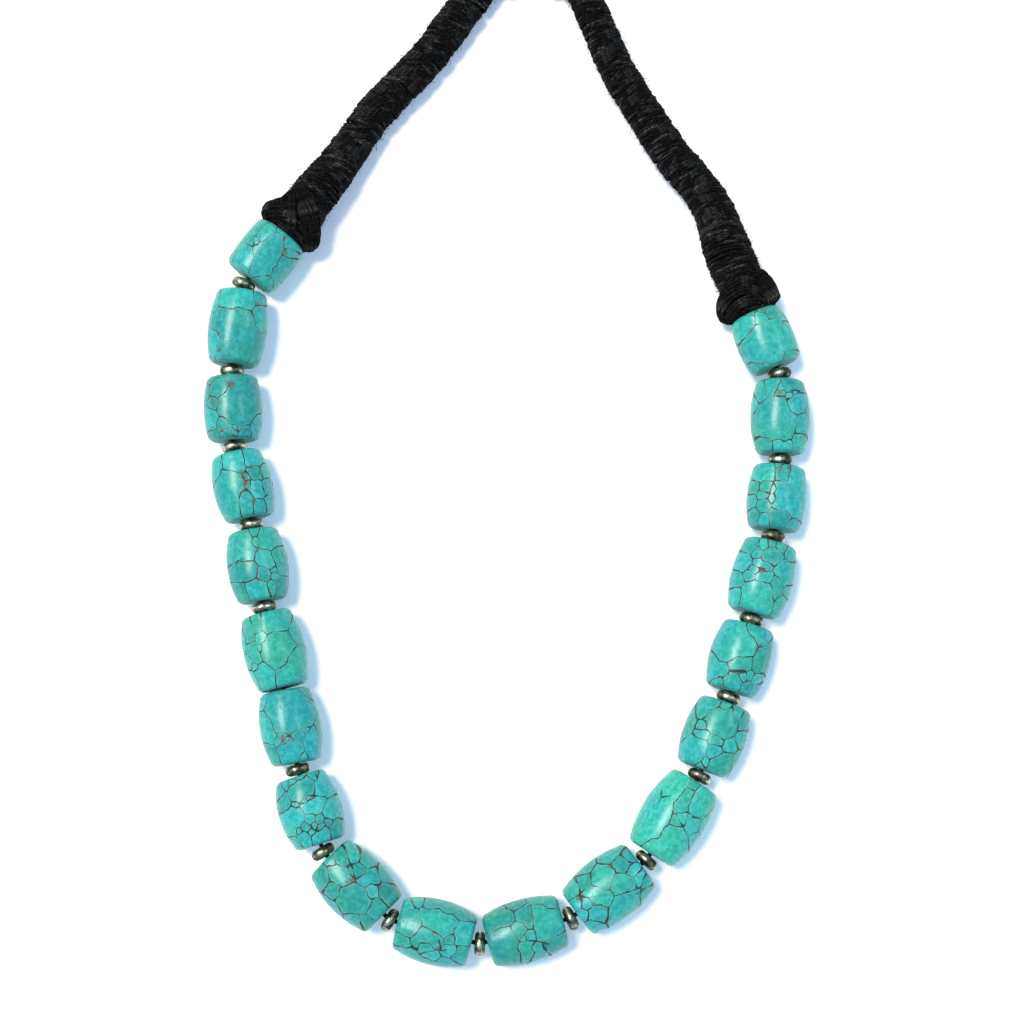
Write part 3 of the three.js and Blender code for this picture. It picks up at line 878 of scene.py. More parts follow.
# How green (-1) or blue (1) each bead is beside the others
stoneTints = {2: 0.3, 3: 0.5, 6: -0.5, 7: 0.5, 13: -1.0, 15: 0.3}

# How wide each bead's veins are beside the others
veinWidths = {1: 0.75, 2: 0.8, 3: 0.85, 4: 1.1, 7: 0.8, 8: 1.15, 9: 1.2, 12: 1.3, 14: 1.15, 17: 0.85,
              19: 0.8}

# How dark (-1) or light (1) each bead is beside the others
stoneShades = {3: -0.8, 5: -0.6, 6: 0.6, 9: -1.0, 11: -1.0, 13: 0.4, 15: -0.3, 17: -0.4, 18: 0.4}

# A pair says where something starts and where it is full, or gives its least and its most
stoneLook = {
    "seed": 900,
    "green": (0.031, 0.405, 0.285, 1),
    "blue": (0.015, 0.342, 0.385, 1),
    "pale": (0.125, 0.620, 0.515, 1),
    "vein": (0.005, 0.012, 0.009, 1),
    "brown": (0.030, 0.024, 0.012, 1),
    "matrix": (0.130, 0.105, 0.055, 1),
    "face": (0.200, 0.450, 0.370, 1),
    "roughness": 0.27,
    "faceRoughness": 0.62,
    "veinRoughness": 0.6,
    "veinDull": 0.6,
    "ior": 1.45,
    "specular": 0.34,
    "relief": 0.05 * mm,
    "reliefStrength": 0.5,
    "farthest": 0.98,  # how far across a charted place may lie, in half thicknesses
    "waver": 0.75,  # how far the veins wander. A scale is how often its noise changes in a millimetre
    "waverScale": 0.75,
    "shiver": 0.16,
    "shiverScale": 3.2,
    "wideWaver": 2.2,
    "veinWidth": (0.036, 0.098),  # millimetres either side of a vein's middle
    "junction": 0.17,  # how much wider a vein gets with its distance from the pebbles
    "junctionReach": 0.40,
    "veinEdge": (1.25, 0.45),  # in widths of the vein
    "veinLeast": 0.50,
    "veinCover": 0.94,
    "fadeScale": 0.45,
    "fadeWidth": (0.32, 0.68),
    "fadeDepth": (0.34, 0.52),
    "streakEdge": (1.3, 0.6),
    "gritScale": 2.6,
    "ragged": 2.4,
    "matrixEdge": (0.32, -0.12),
    "matrixCover": 0.85,
    "crackScale": 0.42,
    "crackEdge": (0.034, 0.010),
    "crackDepth": 0.38,
    "crackPlaceScale": 0.32,
    "crackPlace": (0.52, 0.66),
    "underScale": 0.21,
    "underEdge": (0.034, 0.014),
    "under": (0.66, 0.74),  # in middle thicknesses round from the top
    "broadScale": 0.13,
    "broad": (0.35, 0.65),
    "broadBlue": 0.48,
    "pebbleBlue": 0.20,
    "plainBlue": 0.10,
    "tintBlue": 0.30,
    "cloudScale": 0.9,
    "cloudPale": (0.42, 0.75),
    "cloudPaleness": 0.40,
    "gritPale": (0.52, 0.74),
    "gritPaleness": 0.42,
    "mottle": (0.30, 0.60),
    "mottleLevels": (0.82, 1.04),
    "pebbleLevels": (0.80, 1.10),
    "shadeStep": 0.13,
    "halo": (0.50, 0.12),  # the paler border of a pebble, in millimetres from the vein's middle
    "haloCover": 0.22,
    "rustScale": 0.28,
    "rust": (0.50, 0.64),
    "faceEdge": (0.10, 0.02),  # in millimetres before the end face
    "faceCover": 0.65,
}


# Across is charted from above, and the pattern runs on the barrel's girth
def onGirth(along, across, middle):
    farthest = stoneLook["farthest"]
    lean = math.asin(max(-farthest, min(farthest, 2 * across / middle)))
    return along, middle / 2 * lean, 0.0


# Place on the barrel's skin: distance along, running on over the end faces, and distance round it
def skinPlace(tree, local, middle, end):
    split = addNode(tree, "ShaderNodeSeparateXYZ", {"Vector": local}).outputs
    spoke = addNode(tree, "ShaderNodeCombineXYZ", {"Y": split["Y"], "Z": split["Z"]}).outputs["Vector"]
    radius = vectorNode(tree, "LENGTH", {0: spoke}, "Value")
    inward = mathNode(tree, "MAXIMUM", mathNode(tree, "SUBTRACT", end / 2, radius), 0.0)
    along = multiplyAdd(tree, inward, mathNode(tree, "SIGN", split["X"]), split["X"])
    girth = product(tree, mathNode(tree, "ARCTAN2", split["Y"], split["Z"]), middle / 2)
    skin = addNode(tree, "ShaderNodeCombineXYZ", {"X": along, "Y": girth}).outputs["Vector"]
    return skin, split["X"], girth


def nearCircle(tree, place, circle, middle):
    along, across, radius = circle
    centre = onGirth(along, across, middle)
    return mathNode(tree, "SUBTRACT", vectorNode(tree, "DISTANCE", {0: place, 1: centre}, "Value"), radius)


# Distance to the nearest pebble, to the next one, and a tone that each pebble has to itself
def pebbleField(tree, place, pebbles, middle, dice):
    nearest, second, tone = 50.0, 60.0, 0.5
    for pebble in pebbles:
        away = nearCircle(tree, place, pebble[0], middle)
        for circle in pebble[1:]:
            away = mathNode(tree, "MINIMUM", away, nearCircle(tree, place, circle, middle))
        closer = mathNode(tree, "LESS_THAN", away, nearest)
        tone = mixNumbers(tree, closer, tone, dice.random())
        second = mathNode(tree, "MINIMUM", second, mathNode(tree, "MAXIMUM", away, nearest))
        nearest = mathNode(tree, "MINIMUM", nearest, away)
    return nearest, second, tone


# 1 inside a streak, 0 beyond its half width
def streakMask(tree, place, streaks, middle):
    mask = 0.0
    for start, stop, halfWidth in streaks:
        first, last = Vector(onGirth(*start, middle)), Vector(onGirth(*stop, middle))
        run = last - first
        offset = vectorNode(tree, "SUBTRACT", {0: place, 1: first})
        share = vectorNode(tree, "DOT_PRODUCT", {0: offset, 1: run / run.length_squared}, "Value")
        held = addNode(tree, "ShaderNodeClamp", {"Value": share}).outputs["Result"]
        gap = vectorNode(tree, "MULTIPLY_ADD", {0: held, 1: -run, 2: offset})
        away = vectorNode(tree, "LENGTH", {0: gap}, "Value")
        outside, inside = stoneLook["streakEdge"]
        mask = mathNode(tree, "MAXIMUM", mask, ramp(tree, away, halfWidth * outside, halfWidth * inside))
    return mask


# 1 inside the patches of matrix, with ragged edges
def matrixMask(tree, place, spots, middle, grit):
    away = 9.0
    for spot in spots:
        away = mathNode(tree, "MINIMUM", away, nearCircle(tree, place, spot, middle))
    uneven = product(tree, mathNode(tree, "SUBTRACT", grit, 0.5), stoneLook["ragged"])
    return ramp(tree, mathNode(tree, "SUBTRACT", away, uneven), *stoneLook["matrixEdge"])


# The places that a bead's patterns are read at, in millimetres on the bead
def stonePlaces(tree, number, centre, dice):
    look = stoneLook
    length, middle, end, heading = beadSizes[number - 1]
    turn = {"Location": centre, "Rotation": (0, 0, math.radians(heading)), "Scale": (mm, mm, mm)}
    local = mapPlace(tree, objectPlace(tree), turn, "TEXTURE")
    shifted = mapPlace(tree, local, {"Location": [dice.uniform(-90, 90) for _ in range(3)]})
    skin, along, girth = skinPlace(tree, local, middle, end)
    bend = noiseNode(tree, shifted, look["waverScale"], 2.0, 0.6, output="Color")
    offset = vectorNode(tree, "SUBTRACT", {0: bend, 1: (0.5, 0.5, 0.5)})
    bent = vectorNode(tree, "MULTIPLY_ADD", {0: offset, 1: (look["waver"],) * 3, 2: skin})
    tremble = noiseNode(tree, shifted, look["shiverScale"], 2.0, 0.6, output="Color")
    bent = vectorNode(tree, "MULTIPLY_ADD", {0: tremble, 1: (look["shiver"],) * 3, 2: bent})
    wide = vectorNode(tree, "MULTIPLY_ADD", {0: bend, 1: (look["wideWaver"],) * 3, 2: shifted})
    return {"shifted": shifted, "bent": bent, "wide": wide, "along": along, "girth": girth}


# Veins between the charted pebbles, from 0 to 1
def chartedVeins(tree, number, place, nearest, edge):
    look = stoneLook
    fade = noiseNode(tree, place["shifted"], look["fadeScale"], 2.0)
    width = mixNumbers(tree, ramp(tree, fade, *look["fadeWidth"]), *look["veinWidth"])
    gap = {"Value": nearest, "Min": 0.0, "Max": look["junctionReach"]}
    opening = addNode(tree, "ShaderNodeClamp", gap).outputs["Result"]
    width = mathNode(tree, "ADD", width, product(tree, opening, look["junction"]))
    width = product(tree, width, veinWidths.get(number, 1))
    depth = mixNumbers(tree, ramp(tree, fade, *look["fadeDepth"]), look["veinLeast"], 1.0)
    vein = partRamp(tree, mathNode(tree, "DIVIDE", edge, width), look["veinEdge"], depth)
    streaks = streakMask(tree, place["bent"], stoneStreaks.get(number, []), beadSizes[number - 1][1])
    return mathNode(tree, "MAXIMUM", vein, streaks)


# Faint cracks here and there between the veins
def faintCracks(tree, place):
    look = stoneLook
    faint = ramp(tree, cellEdges(tree, place["wide"], look["crackScale"]), *look["crackEdge"])
    spots = noiseNode(tree, place["shifted"], look["crackPlaceScale"], 1.0)
    return product(tree, product(tree, faint, ramp(tree, spots, *look["crackPlace"])), look["crackDepth"])


# Veins and matrix of the whole bead. The chart covers its upper side, and its underside has plain veins
def stoneMasks(tree, number, place, nearest, edge, grit):
    look = stoneLook
    middle = beadSizes[number - 1][1]
    vein = chartedVeins(tree, number, place, nearest, edge)
    filled = matrixMask(tree, place["bent"], stoneMatrix.get(number, []), middle, grit)
    vein = mathNode(tree, "MAXIMUM", vein, faintCracks(tree, place))
    low, high = look["under"]
    under = ramp(tree, mathNode(tree, "ABSOLUTE", place["girth"]), middle * low, middle * high)
    plain = ramp(tree, cellEdges(tree, place["wide"], look["underScale"]), *look["underEdge"])
    return mixNumbers(tree, under, vein, plain), mixNumbers(tree, under, filled, 0.0)


# The stone between its veins: green to blue, cloudy, and each pebble a little apart in tone
def stoneColour(tree, number, place, tone, grit):
    look = stoneLook
    slow = noiseNode(tree, place["shifted"], look["broadScale"], 1.0)
    broad = ramp(tree, slow, *look["broad"])
    plainBlue = look["plainBlue"] + look["tintBlue"] * stoneTints.get(number, 0)
    blueness = multiplyAdd(tree, broad, look["broadBlue"], plainBlue)
    blueness = multiplyAdd(tree, tone, look["pebbleBlue"], blueness, clamp=True)
    stone = mixColours(tree, blueness, look["green"], look["blue"])
    cloud = noiseNode(tree, place["shifted"], look["cloudScale"], 5.0, 0.68)
    cloudy = partRamp(tree, cloud, look["cloudPale"], look["cloudPaleness"])
    stone = mixColours(tree, cloudy, stone, look["pale"])
    gritty = partRamp(tree, grit, look["gritPale"], look["gritPaleness"])
    stone = mixColours(tree, gritty, stone, look["pale"])
    level = mixNumbers(tree, tone, *look["pebbleLevels"])
    level = product(tree, level, 1 + look["shadeStep"] * stoneShades.get(number, 0))
    mottle = mixNumbers(tree, ramp(tree, cloud, *look["mottle"]), *look["mottleLevels"])
    level = product(tree, level, mottle)
    return vectorNode(tree, "SCALE", {0: stone, "Scale": level})


def stoneMaterial(number, centre):
    look = stoneLook
    length, middle, end, heading = beadSizes[number - 1]
    dice = random.Random(look["seed"] + number)
    material, tree, shader = newMaterial(f"stone{number:02d}")
    place = stonePlaces(tree, number, centre, dice)
    nearest, second, tone = pebbleField(tree, place["bent"], stonePebbles[number], middle, dice)
    edge = product(tree, mathNode(tree, "SUBTRACT", second, nearest), 0.5)
    grit = noiseNode(tree, place["shifted"], look["gritScale"], 3.0, 0.7)
    vein, filled = stoneMasks(tree, number, place, nearest, edge, grit)

    stone = stoneColour(tree, number, place, tone, grit)
    halo = partRamp(tree, edge, look["halo"], look["haloCover"])
    stone = mixColours(tree, halo, stone, look["face"])
    stone = mixColours(tree, product(tree, filled, look["matrixCover"]), stone, look["matrix"])
    stains = noiseNode(tree, place["shifted"], look["rustScale"], 1.0)
    veinColour = mixColours(tree, ramp(tree, stains, *look["rust"]), look["vein"], look["brown"])
    stone = mixColours(tree, product(tree, vein, look["veinCover"]), stone, veinColour)

    before, fully = look["faceEdge"]
    out = mathNode(tree, "ABSOLUTE", place["along"])
    face = ramp(tree, out, length / 2 - before, length / 2 - fully)
    stone = mixColours(tree, product(tree, face, look["faceCover"]), stone, look["face"])
    tree.links.new(stone, shader.inputs["Base Color"])
    polish = mixNumbers(tree, face, look["roughness"], look["faceRoughness"])
    rough = mixNumbers(tree, product(tree, vein, look["veinDull"]), polish, look["veinRoughness"])
    tree.links.new(rough, shader.inputs["Roughness"])
    shader.inputs["IOR"].default_value = look["ior"]
    shader.inputs["Specular IOR Level"].default_value = look["specular"]
    height = mathNode(tree, "SUBTRACT", 1.0, mathNode(tree, "MAXIMUM", vein, filled))
    bump(tree, shader, height, look["relief"], look["reliefStrength"])
    return material


# Half outline of a barrel, [distance along, radius] in millimetres, closed round the bore
def beadOutline(length, middle, end):
    half = length / 2
    rim = beadShape["rim"]
    bore = beadShape["bore"]
    mouth = beadShape["boreMouth"]
    right = []
    for i in range(beadShape["arcPoints"] // 2 + 1):
        share = i / (beadShape["arcPoints"] // 2)
        lower = (middle - end) / 2 * share ** beadShape["fullness"]
        right.append((share * (half - rim), middle / 2 - lower))
    for i in range(1, beadShape["rimPoints"] + 1):
        turn = i / beadShape["rimPoints"] * math.pi / 2
        right.append((half - rim + rim * math.sin(turn), end / 2 - rim + rim * math.cos(turn)))
    for share in beadShape["faceRings"]:
        right.append((half, end / 2 - rim + (bore + mouth - end / 2 + rim) * share))
    soft = beadShape["mouthSoft"] * mouth
    right += [(half, bore + mouth), (half - soft, bore + soft), (half - mouth, bore)]
    left = [(-along, radius) for along, radius in reversed(right[1:])]
    return right + [(0.0, bore)] + left


def spinOutline(outline, steps):
    bm = bmesh.new()
    corners = [bm.verts.new((along, 0, radius)) for along, radius in outline]
    edges = [bm.edges.new((corner, corners[(i + 1) % len(corners)])) for i, corner in enumerate(corners)]
    bmesh.ops.spin(bm, geom=corners + edges, cent=(0, 0, 0), axis=(1, 0, 0), angle=2 * math.pi,
                   steps=steps, use_merge=True)
    bmesh.ops.recalc_face_normals(bm, faces=bm.faces)
    return bm


# Hand cutting: every point outside the bore goes in by a smooth uneven amount
def handCut(bm, seed):
    shape = beadShape
    for vertex in bm.verts:
        radius = math.hypot(vertex.co.y, vertex.co.z)
        if radius < shape["bore"] + 2 * shape["boreMouth"]:
            continue
        place = vertex.co / shape["cutSize"] + Vector((seed * 7.3, seed * 3.1, 0))
        ripplePlace = vertex.co / shape["rippleSize"] + Vector((0, seed * 5.7, seed))
        depth = shape["cut"] * (0.5 + 0.5 * noise.noise(place) / shape["noiseReach"])
        ripple = shape["ripple"] * (0.5 + 0.5 * noise.noise(ripplePlace))
        depth = min(max(depth, 0), shape["cut"]) + ripple
        scale = 1 - depth / radius
        vertex.co.y *= scale
        vertex.co.z *= scale


def placeMesh(bm, centre, heading, tilt=0.0):
    turn = Matrix.Rotation(heading, 4, "Z") @ Matrix.Rotation(tilt, 4, "Z")
    bmesh.ops.transform(bm, matrix=Matrix.Translation(centre) @ turn @ Matrix.Scale(mm, 4), verts=bm.verts)
    for face in bm.faces:
        face.smooth = True


def boxCentre(node):
    low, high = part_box(node)
    return (low + high) / 2


def addBeads():
    for number, (length, middle, end, heading) in enumerate(beadSizes, 1):
        node = f"bead_{number:02d}"
        centre = boxCentre(node)
        outline = beadOutline(length, middle + beadShape["fuller"], end + beadShape["endFull"])
        bm = spinOutline(outline, beadShape["steps"])
        handCut(bm, number)
        placeMesh(bm, centre, math.radians(heading))
        material = stoneMaterial(number, centre)
        bead = meshPiece(f"bead_{number:02d}_stone", bm, material)
        keepAboveFloor(bead, 0)
        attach(bead, "root")
        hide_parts(node)
    print("beads cut")


addBeads()


# Metal rings between the beads

ringShape = {
    "seed": 17,
    "bore": 1.0,
    "rim": 1.0,
    "rimCentre": 1.55,
    "thickness": 1.07,  # how much fuller than round the rim is along the string
    "rimPoints": 16,
    "dish": 0.12,
    "lip": 0.15,
    "steps": 56,
    "dent": 0.05,
    "dentPace": 0.8,
    "lean": 3.0,
}
touchingBead = 6  # this bead and the next have no ring between them

ringFinish = {
    "dark": (0.075, 0.063, 0.040, 1),
    "bright": (0.64, 0.57, 0.40, 1),
    "roughness": 0.27,
    "grainSize": 0.25 * mm,
}

metalLook = {
    "stainSize": 1.6 * mm,
    "wear": (0.40, 0.66),  # where the metal starts to be bright, and where it is fully
    "dullness": 1.6,  # how much rougher the stains are
    "relief": 0.02 * mm,
    "reliefStrength": 0.5,
}


def metalMaterial(name, finish):
    look = metalLook
    material, tree, shader = newMaterial(name)
    place = objectPlace(tree)
    stains = noiseNode(tree, place, 1 / look["stainSize"], 3.0, 0.6)
    grain = noiseNode(tree, place, 1 / finish["grainSize"], 4.0, 0.7)
    worn = ramp(tree, stains, *look["wear"])
    colour = mixColours(tree, worn, finish["dark"], finish["bright"])
    tree.links.new(colour, shader.inputs["Base Color"])
    rough = mixNumbers(tree, worn, finish["roughness"] * look["dullness"], finish["roughness"])
    tree.links.new(rough, shader.inputs["Roughness"])
    shader.inputs["Metallic"].default_value = 1.0
    bump(tree, shader, grain, look["relief"], look["reliefStrength"])
    return material


def ringOutline():
    shape = ringShape
    half = []
    for i in range(shape["rimPoints"] + 1):
        turn = (i / shape["rimPoints"] - 0.5) * math.pi
        half.append((shape["rim"] * shape["thickness"] * math.sin(turn),
                     shape["rimCentre"] + shape["rim"] * math.cos(turn)))
    low = shape["rim"] * shape["thickness"] - shape["dish"]
    bore = shape["bore"]
    lip = shape["lip"]
    return half + [(low, bore + lip), (low - lip, bore), (-low + lip, bore), (-low, bore + lip)]


def addRings(material):
    names = sorted(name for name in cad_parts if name.startswith("spacer"))
    headings = [heading for length, middle, end, heading in beadSizes]
    gaps = [i for i in range(len(headings) - 1) if i + 1 != touchingBead]
    dice = random.Random(ringShape["seed"])
    for name, gap in zip(names, gaps):
        bm = spinOutline(ringOutline(), ringShape["steps"])
        seed = Vector((gap * 3.3, 1.7, 0))
        for vertex in bm.verts:
            dent = abs(noise.noise(vertex.co * ringShape["dentPace"] + seed))
            vertex.co *= 1 - ringShape["dent"] * dent
        heading = math.radians((headings[gap] + headings[gap + 1]) / 2)
        lean = math.radians(dice.uniform(-1, 1) * ringShape["lean"])
        placeMesh(bm, boxCentre(name), heading, lean)
        ring = meshPiece(f"{name}_ring", bm, material)
        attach(ring, "root")
        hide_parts(name)
    print("rings placed")


addRings(metalMaterial("darkMetal", ringFinish))


# Knots: a wound core with lobes at its sides and bands of thread laid over it. A place on a knot is
# [millimetres from the bead's face, degrees round from the left side over the top]

knotShape = {
    "length": 11.4,
    "thread": 0.34,
    "sides": 6,
    "pitch": 0.62,
    "start": 0.35,
    "turnSteps": 24,
    "waveAside": 0.22,
    "wavePace": 0.7,
    "lean": 0.5,
    "core": 4.1,
    "coreSides": 16,
    "coreStart": 0.4,
    "girth": 5.2,  # radius that turns degrees of a path into millimetres
    "routeStep": 0.28,
    "spacing": 0.66,
    "layerDepth": 0.40,
    "layerFree": 0.5,  # height that a band may have on its two plain layers
    "endNarrow": 0.28,
    "dive": 1.5,
    "diveShare": 0.14,
    "crown": 1.0,  # how much higher a band is in its middle than at its edges
    "crownRest": 0.6,
    "strayAside": 0.46,
    "strayOut": 0.22,
}

knotHairShape = {
    "count": 170,
    "along": (0.6, 11.0),
    "drift": 1.0,
    "swing": 0.2,
    "lengths": (0.6, 0.9, 1.3),
    "bow": 0.3,
    "rootDepth": 0.3,
}

# Lobes are [how far it swells, where along, how far it reaches either way] on the left and the right side.
# Layer is how many millimetres a band lies above the core
knotBands = {
    "left": {
        "radii": [(0.0, 4.3), (1.0, 4.7), (3.0, 4.7), (5.4, 4.25), (6.8, 4.4), (8.4, 4.85), (11.4, 4.9)],
        "lobes": [(1.0, 2.7, 3.2), (1.3, 3.9, 4.6)],
        "bands": [
            {"width": 2.9, "layer": 0.65,
             "path": [(0.7, -50), (1.4, -20), (2.6, 12), (4.8, 40), (7.4, 58), (9.2, 76)]},
            {"width": 4.0, "layer": 0.85,
             "path": [(9.8, 44), (8.9, 70), (7.4, 102), (5.6, 132), (3.4, 160), (1.8, 186), (1.0, 220)]},
            {"width": 1.6, "layer": 1.10,
             "path": [(8.8, 58), (7.2, 68), (5.2, 82), (3.0, 98), (1.2, 112), (0.3, 122)]},
            {"width": 1.9, "layer": 0.30,
             "path": [(0.5, 22), (1.7, 50), (3.1, 78), (4.5, 100)]},
            {"width": 1.5, "layer": 0.30,
             "path": [(2.2, 22), (3.5, 46), (5.0, 66), (6.0, 84)]},
            {"width": 4.2, "layer": 0.4,
             "path": [(1.0, 190), (2.4, 220), (5.2, 250), (7.0, 280), (4.6, 315), (1.6, 350)]},
        ],
    },
    "right": {
        "radii": [(0.0, 4.3), (1.0, 4.65), (3.0, 4.75), (6.0, 4.9), (9.0, 5.15), (11.4, 5.15)],
        "lobes": [(1.1, 2.7, 3.2), (0.65, 2.7, 3.2)],
        "bands": [
            {"width": 2.4, "layer": 0.70,
             "path": [(0.7, -44), (2.4, -10), (5.0, 20), (6.6, 54), (6.2, 90), (4.6, 120)]},
            {"width": 2.2, "layer": 0.85,
             "path": [(0.5, -34), (1.8, -4), (3.7, 26), (4.7, 58), (4.3, 88), (3.0, 114)]},
            {"width": 2.0, "layer": 0.75,
             "path": [(0.4, 6), (1.3, 32), (2.4, 60), (2.2, 88), (1.0, 110)]},
            {"width": 3.4, "layer": 1.05,
             "path": [(7.6, 128), (6.2, 134), (4.6, 139), (3.0, 144), (1.4, 148), (0.2, 150)]},
            {"width": 4.2, "layer": 0.4,
             "path": [(1.0, 180), (2.4, 215), (5.2, 250), (7.0, 280), (4.6, 315), (1.6, 350)]},
        ],
    },
}


# Radius of a knot's core in millimetres, with a lobe on its left and on its right side
def knotRadius(side, along, angle):
    radius = np.interp(along, *zip(*knotBands[side]["radii"]))
    for lobe, towards in zip(knotBands[side]["lobes"], (1, -1)):
        size, middle, reach = lobe
        bulge = np.clip(1 - ((along - middle) / reach) ** 2, 0, 1) ** 0.7
        radius = radius + size * bulge * np.clip(np.cos(angle) * towards, 0, 1) ** 3
    return radius


def onKnot(toWorld, along, angle, radius):
    points = np.stack([along, radius * np.cos(angle), radius * np.sin(angle)], axis=1) * mm
    return points @ np.array(toWorld.to_3x3()).T + np.array(toWorld.translation)


# Threads side by side along a path over the core, each straying a little and diving in at its ends. The odd
# factors only keep the threads' noise apart
def laidBand(side, band, toWorld, seed):
    shape = knotShape
    path = [(along, math.radians(angle) * shape["girth"], 0.0) for along, angle in band["path"]]
    middle = smoothRoute(path, shape["routeStep"])
    ahead = np.gradient(middle, axis=0)
    ahead /= np.linalg.norm(ahead, axis=1)[:, None]
    aside = np.stack([-ahead[:, 1], ahead[:, 0]], axis=1)
    share = np.linspace(0, 1, len(middle))
    narrow = 1 - shape["endNarrow"] + shape["endNarrow"] * np.sin(share * math.pi)
    inside = np.clip(np.minimum(share, 1 - share) / shape["diveShare"], 0, 1)
    dive = shape["dive"] * (1 - inside) ** 2
    routes = []
    # A band that stands high has more layers under it, so that no light comes through below
    raised = max(0.0, band["layer"] - shape["layerFree"])
    layers = 2 + math.ceil(raised / shape["layerDepth"])
    for layer in range(layers):
        count = round(band["width"] / shape["spacing"]) + layer
        for strand in range(count):
            offset = (strand + 0.5) / count - 0.5
            place = Vector((strand * 1.31 + seed * 7.7, layer * 5.3, 0))
            wave = np.array([noise.noise(place + Vector((0, 0, s * 4.2))) for s in share])
            rise = np.array([noise.noise(place + Vector((31, 0, s * 6.0))) for s in share])
            shift = offset * band["width"] * narrow + wave * shape["strayAside"]
            along = middle[:, 0] + aside[:, 0] * shift
            angle = (middle[:, 1] + aside[:, 1] * shift) / shape["girth"]
            crown = shape["crown"] * ((1 - (2 * offset) ** 2) ** 0.5 - shape["crownRest"])
            height = band["layer"] + crown - layer * shape["layerDepth"] + rise * shape["strayOut"] - dive
            routes.append(onKnot(toWorld, along, angle, knotRadius(side, along, angle) + height))
    return routes


def knotCore(side, toWorld):
    shape = knotShape
    turns = shape["length"] / shape["pitch"]
    angle = np.linspace(0, turns * 2 * math.pi, int(turns * shape["turnSteps"]))
    wave = unevenness(angle * shape["wavePace"], 2.2, 0) * shape["waveAside"]
    along = shape["start"] + angle / (2 * math.pi) * shape["pitch"] + wave + shape["lean"] * np.cos(angle)
    wound = onKnot(toWorld, along, angle, knotRadius(side, along, angle) - shape["thread"])
    straight = np.linspace(shape["coreStart"], shape["length"], 12)
    middle = onKnot(toWorld, straight, np.zeros(12), np.zeros(12))
    return [threadMesh("wound", [wound], shape["thread"] * mm, shape["sides"], cotton),
            threadMesh("core", [middle], shape["core"] * mm, shape["coreSides"], cotton)]


def knotHairs(side, toWorld, dice):
    shape = knotHairShape
    past = hairShape["past"]
    share = np.linspace(0, 1, hairShape["steps"])
    routes = []
    for _ in range(shape["count"]):
        along = dice.uniform(*shape["along"]) + dice.uniform(-shape["drift"], shape["drift"]) * share
        angle = dice.uniform(-past, math.pi + past) + dice.uniform(-shape["swing"], shape["swing"]) * share
        length = dice.choice(shape["lengths"]) * share * (1 - shape["bow"] * share)
        radius = knotRadius(side, along, angle) - shape["rootDepth"] + length
        routes.append(onKnot(toWorld, along, angle, radius))
    return threadMesh("hairs", routes, hairShape["radius"], hairShape["sides"], cotton)


def addKnots():
    for side in ("left", "right"):
        node = f"knot_{side}"
        beadNumber = 1 if side == "left" else len(beadSizes)
        length, middle, end, heading = beadSizes[beadNumber - 1]
        if side == "left":
            heading += 180
        turn = Matrix.Rotation(math.radians(heading), 4, "Z")
        face = boxCentre(f"bead_{beadNumber:02d}") + turn @ Vector((length / 2 * mm, 0, 0))
        toWorld = Matrix.Translation(face) @ turn
        pieces = knotCore(side, toWorld)
        for seed, band in enumerate(knotBands[side]["bands"]):
            routes = laidBand(side, band, toWorld, seed)
            pieces.append(threadMesh("band", routes, knotShape["thread"] * mm, knotShape["sides"], cotton))
        pieces.append(knotHairs(side, toWorld, random.Random(beadNumber)))
        knot = joinPieces(f"knot_{side}_wrapped", pieces)
        keepAboveFloor(knot)
        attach(knot, "root")
        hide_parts(node)
    print("knots tied")


addKnots()


# Clasp: a bent barrel with a socket in each end, behind the part that shows

claspShape = {
    "centre": (4.8 * mm, 116.0 * mm, 4.1 * mm),
    "bend": 14.0 * mm,
    "halfAngle": 30.0,
    "radius": 4.1 * mm,
    "socketRadius": 3.45 * mm,
    "socketDepth": 4.2 * mm,
    "soft": 0.30 * mm,
    "rings": 24,
    "segments": 48,
}

claspFinish = {
    "dark": (0.24, 0.225, 0.20, 1),
    "bright": (0.42, 0.40, 0.36, 1),
    "roughness": 0.28,
    "grainSize": 0.4 * mm,
}


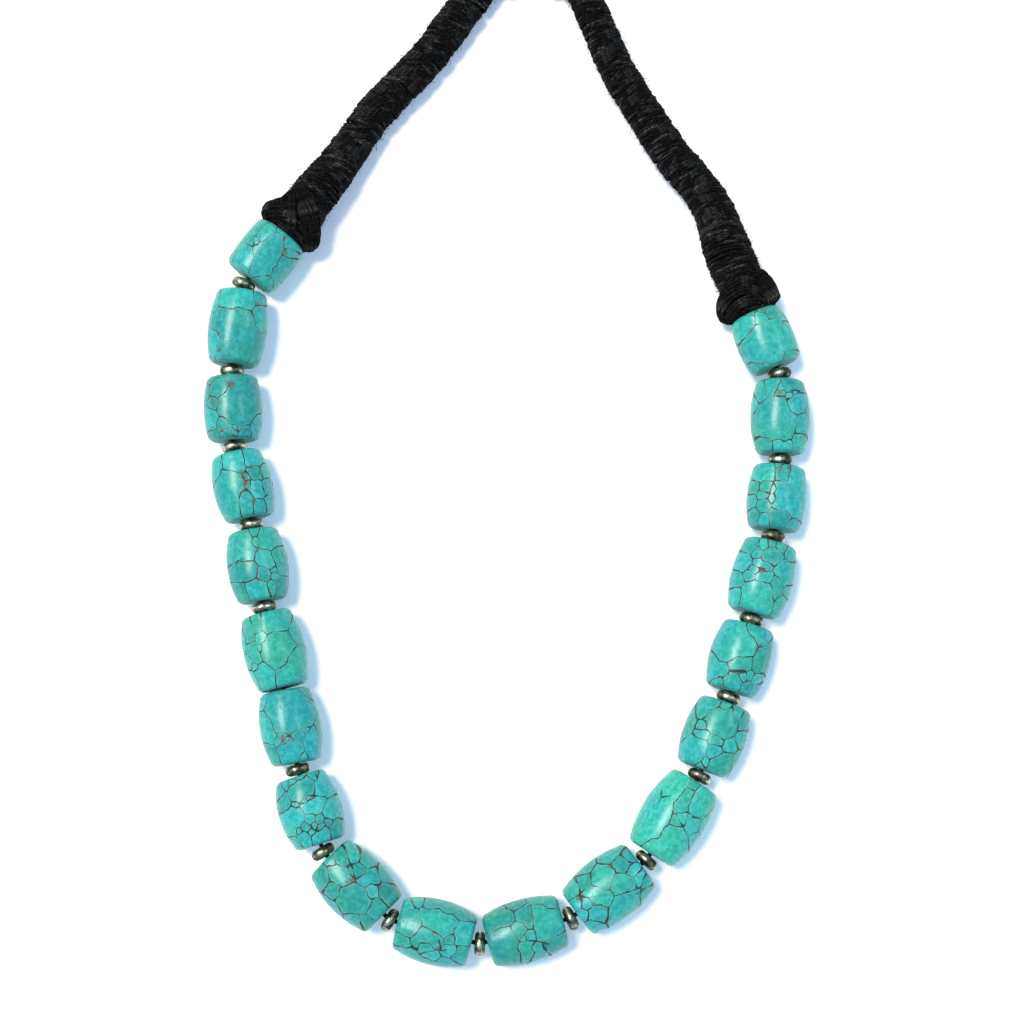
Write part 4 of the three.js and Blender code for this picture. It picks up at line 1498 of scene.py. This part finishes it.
# Rings of the outline from one socket's floor, out round the rim, along the barrel and into the other
def claspRings():
    shape = claspShape
    deep = math.degrees(shape["socketDepth"] / shape["bend"])
    soft = math.degrees(shape["soft"] / shape["bend"])
    edge = shape["halfAngle"]
    end = [(edge - inward, shape["socketRadius"]) for inward in (deep, deep / 2, soft / 2)]
    for turn in (0, 30, 60, 90):
        lean = math.radians(turn)
        radius = shape["radius"] - shape["soft"] * (1 - math.sin(lean))
        end.append((edge - soft + soft * math.cos(lean), radius))
    barrel = [(edge - soft - (edge - soft) * 2 * i / shape["rings"], shape["radius"])
              for i in range(1, shape["rings"])]
    return end + barrel + [(-angle, radius) for angle, radius in reversed(end)]


def addClasp(material):
    bm = bmesh.new()
    loops = []
    for angle, radius in claspRings():
        turn = Matrix.Rotation(math.radians(angle), 4, "Z")
        outward = Matrix.Translation((0, claspShape["bend"], 0))
        place = Matrix.Translation(claspShape["centre"]) @ turn @ outward
        upright = Matrix.Rotation(math.pi / 2, 4, "Y")
        made = bmesh.ops.create_circle(bm, segments=claspShape["segments"], radius=radius,
                                       matrix=place @ upright)
        loops.append({edge for vertex in made["verts"] for edge in vertex.link_edges})
    for first, second in zip(loops, loops[1:]):
        bmesh.ops.bridge_loops(bm, edges=list(first | second))
    for loop in (loops[0], loops[-1]):
        bmesh.ops.contextual_create(bm, geom=list(loop))
    bmesh.ops.recalc_face_normals(bm, faces=bm.faces)
    for face in bm.faces:
        face.smooth = len(face.verts) == 4
    clasp = meshPiece("clasp_barrel", bm, material)
    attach(clasp, "root")
    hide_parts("clasp")
    print("clasp made")
    return clasp


addCords(addClasp(metalMaterial("claspMetal", claspFinish)))


# The thread keeps its solid and takes the cotton

threadLook = {
    "plySize": 0.3 * mm,
    "roughness": 0.9,
    "relief": 0.05 * mm,
    "reliefStrength": 0.6,
}


def plainCotton():
    look = threadLook
    material, tree, shader = newMaterial("threadCotton")
    place = objectPlace(tree)
    plies = noiseNode(tree, place, 1 / look["plySize"], 3.0, 0.6)
    colour = mixColours(tree, plies, cottonLook["deep"], cottonLook["worn"])
    tree.links.new(colour, shader.inputs["Base Color"])
    shader.inputs["Roughness"].default_value = look["roughness"]
    bump(tree, shader, plies, look["relief"], look["reliefStrength"])
    return material


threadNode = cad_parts["thread"]
threadNode.data.materials.clear()
threadNode.data.materials.append(plainCotton())
